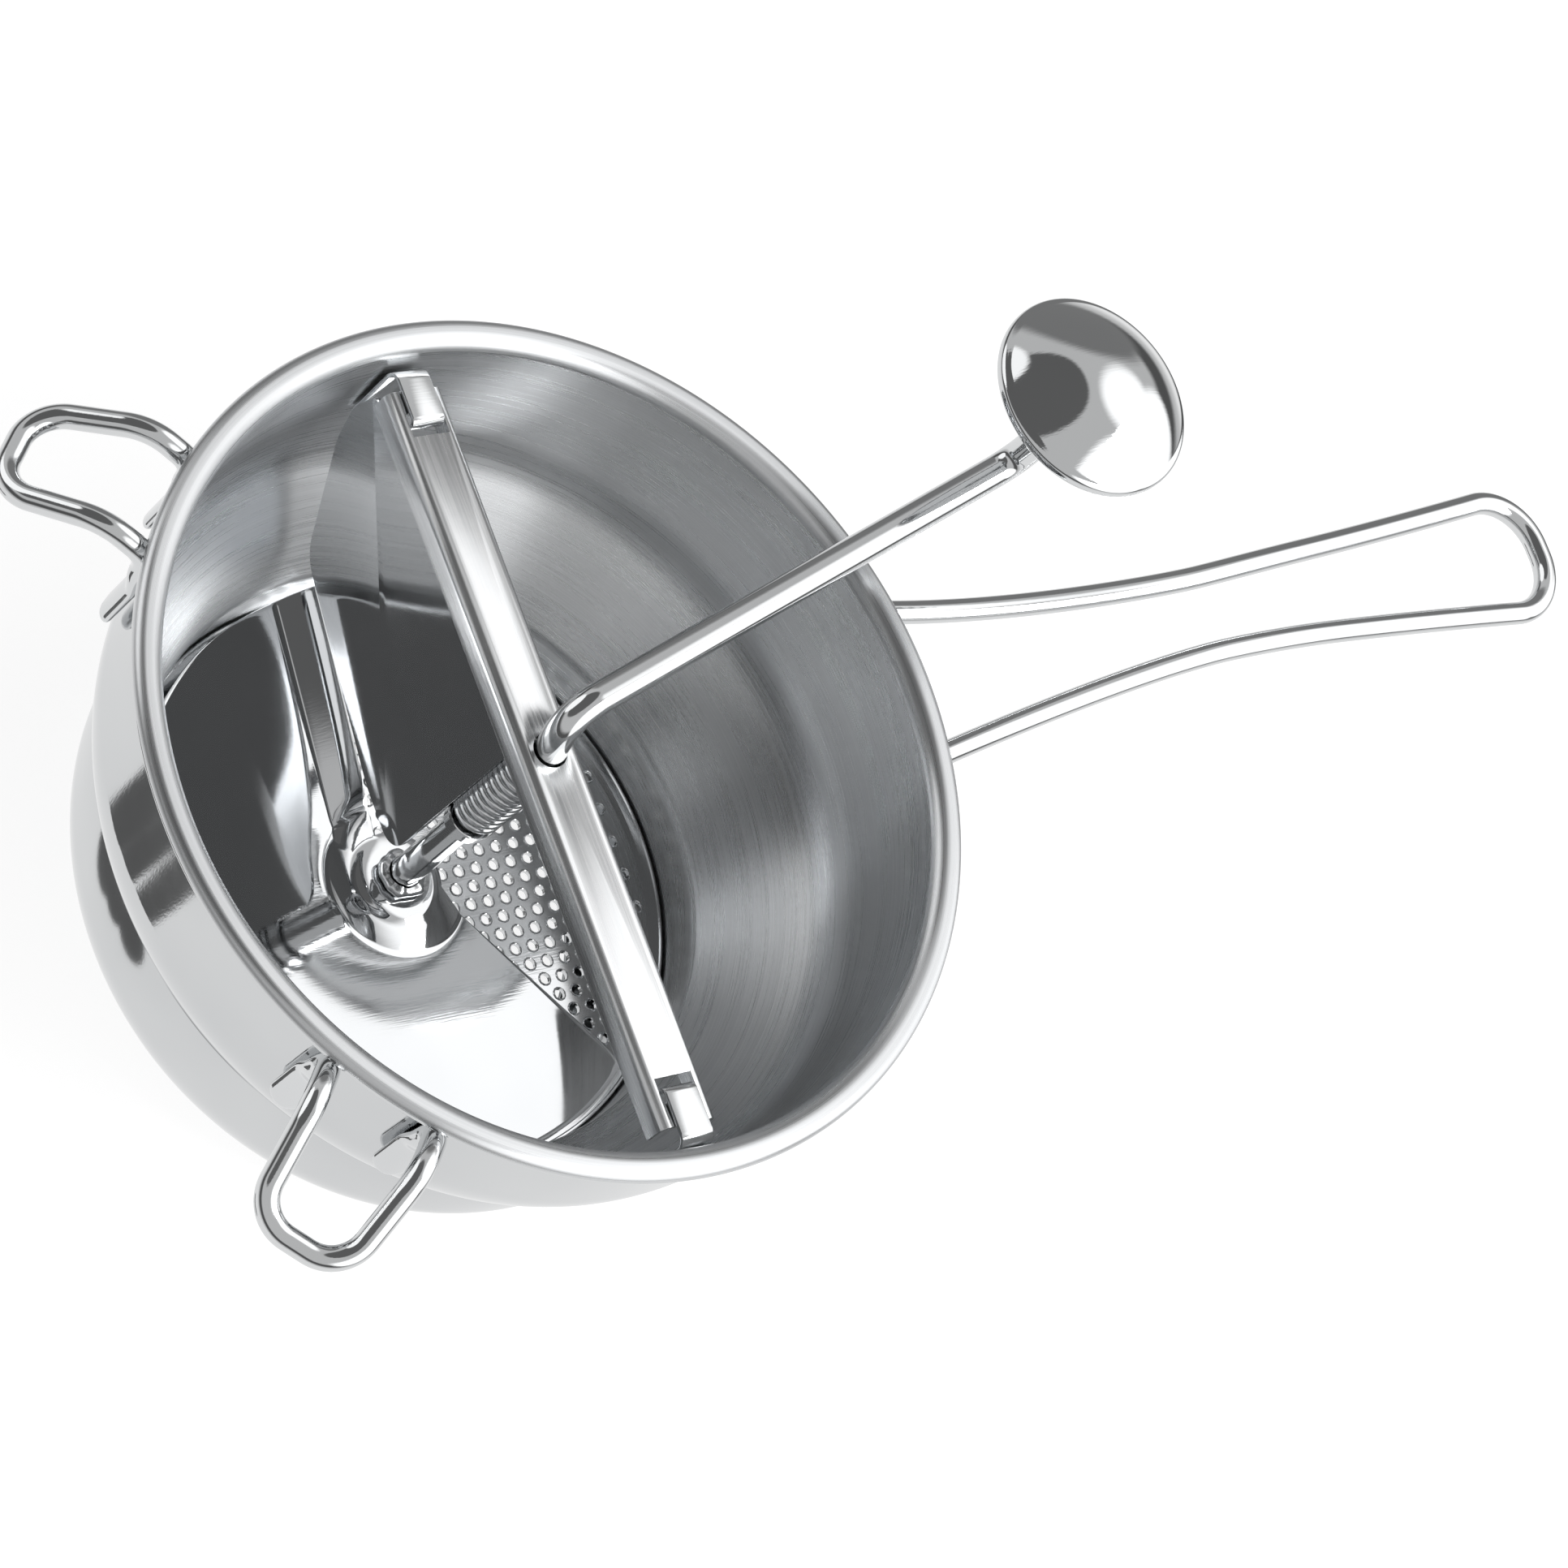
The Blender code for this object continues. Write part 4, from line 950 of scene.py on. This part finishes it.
def bent_wire(name, half, radii, turn, stands_for):
    """One wire: its end lies flattened on the bowl's wall, grows round over the leg, and follows
    the half path to the middle, where its mirror image takes over. The half widths go from the
    pad's to the wire's by a smooth step."""
    spread = half[0][1]
    pad_top = RIM_Z - LUG_DROP - LEG_LENGTH
    pad_foot = pad_top - GAP - PAD_HEIGHT
    about = math.asin(spread / leg_radius(0, pad_top))
    wall = wall_radius(pad_top) + SHEET + 2 * GAP + PAD_HALF_SHEET
    on_wall = (wall * math.cos(about), wall * math.sin(about))
    rest = evened(rounded(half + [(half[-1][0], 0, half[-1][2])], radii, 4.0), 0.0007)
    climb = np.linspace(0, 1, 44)
    lean = smooth((climb - LEAN_START) / (1 - LEAN_START))[:, None]
    leg = np.array(half[0][:2]) * lean + np.array(on_wall) * (1 - lean)
    leg = np.concatenate([leg, (pad_foot + (half[0][2] - pad_foot) * climb)[:, None]], 1)
    path = np.concatenate([leg[:-1], rest])
    length = np.concatenate([[0], np.cumsum(np.linalg.norm(np.diff(path, axis=0), axis=1))])
    full = smooth((length - PAD_HEIGHT * 0.66) / (PAD_HEIGHT * 0.62))
    nose = np.sqrt(np.clip(1 - (1 - np.clip(length / PAD_HALF_WIDTH, 0, 1)) ** 2, 0.02, 1))
    nose_thin = np.sqrt(np.clip(1 - (1 - np.clip(length / PAD_NOSE, 0, 1)) ** 2, 0.05, 1))
    half_in = (PAD_HALF_SHEET + (WIRE_RADIUS - PAD_HALF_SHEET) * full) * nose_thin
    half_across = (PAD_HALF_WIDTH + (WIRE_RADIUS - PAD_HALF_WIDTH) * full) * nose
    out = (math.cos(about), math.sin(about), 0)
    points, faces = carried(path, out, half_in, half_across, WIRE_SIDES, False)
    faces.append(np.arange(WIRE_SIDES)[None])
    points.reshape(len(path), WIRE_SIDES, 3)[-1, :, 1] = 0.0
    mirrored = points * (1, -1, 1)
    shells = [(spun(points, turn), faces), (spun(mirrored, turn), faces)]
    piece(name, shells, WIRE_MIRROR, "bowl", stands_for, 60.0)


def hooks():
    """Two like hooks at equal turns to both sides: out over a crest and down to a narrow end."""
    pass_z = RIM_Z - LUG_DROP
    leg = leg_radius(HOOK_SPREAD, pass_z)
    half = [
        (leg, HOOK_SPREAD, pass_z - LEG_LENGTH),
        (leg, HOOK_SPREAD, pass_z),
        (leg + HOOK_CREST, HOOK_SPREAD, pass_z + HOOK_RISE),
        (HOOK_REACH, HOOK_END, pass_z - HOOK_DROP),
    ]
    for side, label in ((1, "left"), (-1, "right")):
        node = "hook_" + label
        bent_wire(node + "_wire", half, [WIRE_ROUND, 0.014, 0.010], side * HOOK_TURN,
                  [node, node + "_pad_a", node + "_pad_b"])


def long_handle():
    """Handle: the half width narrows to the waist and widens to the tip by powers of the share of
    the way, and the height climbs by a smooth step and then stays level."""
    pass_z = RIM_Z - LUG_DROP
    leg = leg_radius(HANDLE_ROOT, pass_z)
    end = HANDLE_REACH - WIRE_RADIUS
    share = np.linspace(0, 1, 61)[1:-2]
    before = np.clip(1 - share / WAIST_SHARE, 0, 1)
    after = np.clip((share - WAIST_SHARE) / (1 - WAIST_SHARE), 0, 1)
    inside = HANDLE_WAIST + (HANDLE_ROOT - HANDLE_WAIST) * before**1.6
    outside = (HANDLE_FLARE - HANDLE_WAIST) * after**1.43
    run = np.stack([leg + (end - leg) * share, inside + outside,
                    pass_z + HANDLE_RISE * smooth(share / HANDLE_RISE_SHARE)], 1)
    half = [(leg, HANDLE_ROOT, pass_z - LEG_LENGTH), (leg, HANDLE_ROOT, pass_z)]
    half += [tuple(point) for point in run[run[:, 0] < end - HANDLE_TIP_RUN]]
    half += [(end, HANDLE_FLARE, pass_z + HANDLE_RISE)]
    radii = [WIRE_ROUND] + [0] * (len(half) - 3) + [HANDLE_TIP_ROUND]
    bent_wire("handle_wire", half, radii, 0.0, ["long_handle", "handle_pad_a", "handle_pad_b"])


bowl()
lower_skirt()
perforated_disc()
crossbar()
lug_straps()
crank()
spring()
washers_and_stop()
blade()
hub_weld()
knob()
hooks()
long_handle()


# ---- floor, studio and camera ---------------------------------------------------------------
FLOOR_HALF = 12.0
FLOOR_GLOW = 0.84
LAMP_AIM_Z = 0.05


def floor():
    """Light table: a square sheet that glows softly and takes a faint shadow."""
    side = FLOOR_HALF
    corners = np.array([(-side, -side, 0), (side, -side, 0), (side, side, 0), (-side, side, 0)])
    mesh = bpy.data.meshes.new("light_table")
    mesh.from_pydata(corners.tolist(), [], [(0, 1, 2, 3)])
    table = bpy.data.objects.new("light_table", mesh)
    bpy.context.scene.collection.objects.link(table)
    glass = bpy.data.materials.new("table_glass")
    glass.use_nodes = True
    shader = glass.node_tree.nodes["Principled BSDF"]
    shader.inputs["Base Color"].default_value = (0.30, 0.30, 0.30, 1.0)
    shader.inputs["Roughness"].default_value = 1.0
    shader.inputs["Specular IOR Level"].default_value = 0.0
    shader.inputs["Emission Color"].default_value = (1.0, 1.0, 1.0, 1.0)
    shader.inputs["Emission Strength"].default_value = FLOOR_GLOW
    mesh.materials.append(glass)
    table.visible_glossy = False


# (direction, half angle in degrees, soft edge in degrees, brightness)
STUDIO_CARDS = [
    ((0.00, 0.00, -1.0), 62.0, 14.0, 0.92),
    ((0.55, 0.75, 0.25), 24.0, 10.0, 0.22),
    ((0.30, -0.85, 0.40), 28.0, 8.0, 1.6),
    ((0.88, -0.34, 0.34), 22.0, 8.0, 1.5),
    ((0.62, -0.04, 0.78), 17.0, 10.0, 1.5),
    ((-0.45, 0.33, 0.83), 33.0, 4.0, 0.13),
    ((-0.50, 0.80, 0.33), 18.0, 4.0, 1.3),
    ((-0.42, 0.38, -0.83), 5.0, 1.0, 0.12),
    ((-0.47, 0.28, -0.83), 4.0, 1.0, 0.12),
    ((-0.53, 0.16, -0.83), 4.5, 1.0, 0.12),
]
STUDIO_BASE = 0.60
HORIZON = 0.10
HORIZON_BAND = (0.10, 0.26)
BACKDROP = 0.98

CAMERA_LENS = 129.7
CAMERA_BACK = (-0.5939, -0.2315, 0.7705)
CAMERA_RIGHT = (0.790, -0.350, 0.504)
CAMERA_REACH = 12
AIM_RIGHT = 0.462
AIM_DOWN = 0.101


def studio():
    """Sky of soft cards: a dark belt round the horizon, and over it each card mixes its
    brightness in by a smooth edge round its direction. Seen directly it is an even backdrop."""
    world = bpy.data.worlds.new("studio")
    bpy.context.scene.world = world
    world.use_nodes = True
    tree = world.node_tree
    background = tree.nodes["Background"]
    background.inputs["Color"].default_value = (1.0, 1.0, 1.0, 1.0)
    aim = tree.nodes.new("ShaderNodeTexCoord")
    split = tree.nodes.new("ShaderNodeSeparateXYZ")
    tree.links.new(aim.outputs["Generated"], split.inputs[0])
    away = tree.nodes.new("ShaderNodeMath")
    away.operation = "ABSOLUTE"
    tree.links.new(split.outputs["Z"], away.inputs[0])
    belt = tree.nodes.new("ShaderNodeMapRange")
    belt.interpolation_type = "SMOOTHSTEP"
    tree.links.new(away.outputs[0], belt.inputs["Value"])
    for socket, value in zip(("From Min", "From Max", "To Min", "To Max"),
                             (*HORIZON_BAND, HORIZON, STUDIO_BASE)):
        belt.inputs[socket].default_value = value
    level = belt.outputs["Result"]
    for direction, half, soft, brightness in STUDIO_CARDS:
        dot = tree.nodes.new("ShaderNodeVectorMath")
        dot.operation = "DOT_PRODUCT"
        tree.links.new(aim.outputs["Generated"], dot.inputs[0])
        dot.inputs[1].default_value = Vector(direction).normalized()
        edge = tree.nodes.new("ShaderNodeMapRange")
        edge.interpolation_type = "SMOOTHSTEP"
        tree.links.new(dot.outputs["Value"], edge.inputs["Value"])
        edge.inputs["From Min"].default_value = math.cos(math.radians(half + soft))
        edge.inputs["From Max"].default_value = math.cos(math.radians(half))
        mix = tree.nodes.new("ShaderNodeMix")
        tree.links.new(edge.outputs["Result"], mix.inputs["Factor"])
        tree.links.new(level, mix.inputs["A"])
        mix.inputs["B"].default_value = brightness
        level = mix.outputs["Result"]
    seen = tree.nodes.new("ShaderNodeLightPath")
    plain = tree.nodes.new("ShaderNodeMix")
    tree.links.new(seen.outputs["Is Camera Ray"], plain.inputs["Factor"])
    tree.links.new(level, plain.inputs["A"])
    plain.inputs["B"].default_value = BACKDROP
    tree.links.new(plain.outputs["Result"], background.inputs["Strength"])


def soft_light(name, place, size, power):
    """Rectangular lamp aimed at the foot of the bowl's axis."""
    lamp = bpy.data.lights.new(name, "AREA")
    lamp.shape = "RECTANGLE"
    lamp.size, lamp.size_y = size
    lamp.energy = power
    light = bpy.data.objects.new(name, lamp)
    light.location = place
    ahead = Vector((*AXIS, LAMP_AIM_Z)) - Vector(place)
    light.rotation_euler = ahead.to_track_quat("-Z", "Y").to_euler()
    bpy.context.scene.collection.objects.link(light)


def camera():
    """Camera on its own back direction from a point beside the rim, turned so that its right
    direction is the part of the given one that lies across the view."""
    lens = bpy.data.cameras.new("camera")
    lens.sensor_width = 36.0
    lens.lens = CAMERA_LENS
    eye = bpy.data.objects.new("camera", lens)
    back = Vector(CAMERA_BACK).normalized()
    right = Vector(CAMERA_RIGHT)
    right = (right - back * right.dot(back)).normalized()
    up = back.cross(right)
    aim = Vector((*AXIS, RIM_Z)) + RIM_RADIUS * (AIM_RIGHT * right - AIM_DOWN * up)
    turn = Matrix((right, up, back)).transposed()
    place = aim + back * CAMERA_REACH * RIM_RADIUS
    eye.matrix_world = Matrix.Translation(place) @ turn.to_4x4()
    lens.clip_start, lens.clip_end = 0.05, 50.0
    bpy.context.scene.collection.objects.link(eye)
    bpy.context.scene.camera = eye


floor()
studio()
soft_light("key", (0.55, -0.75, 1.10), (0.9, 0.5), 9.0)
camera()
bpy.context.scene.view_settings.view_transform = "Standard"
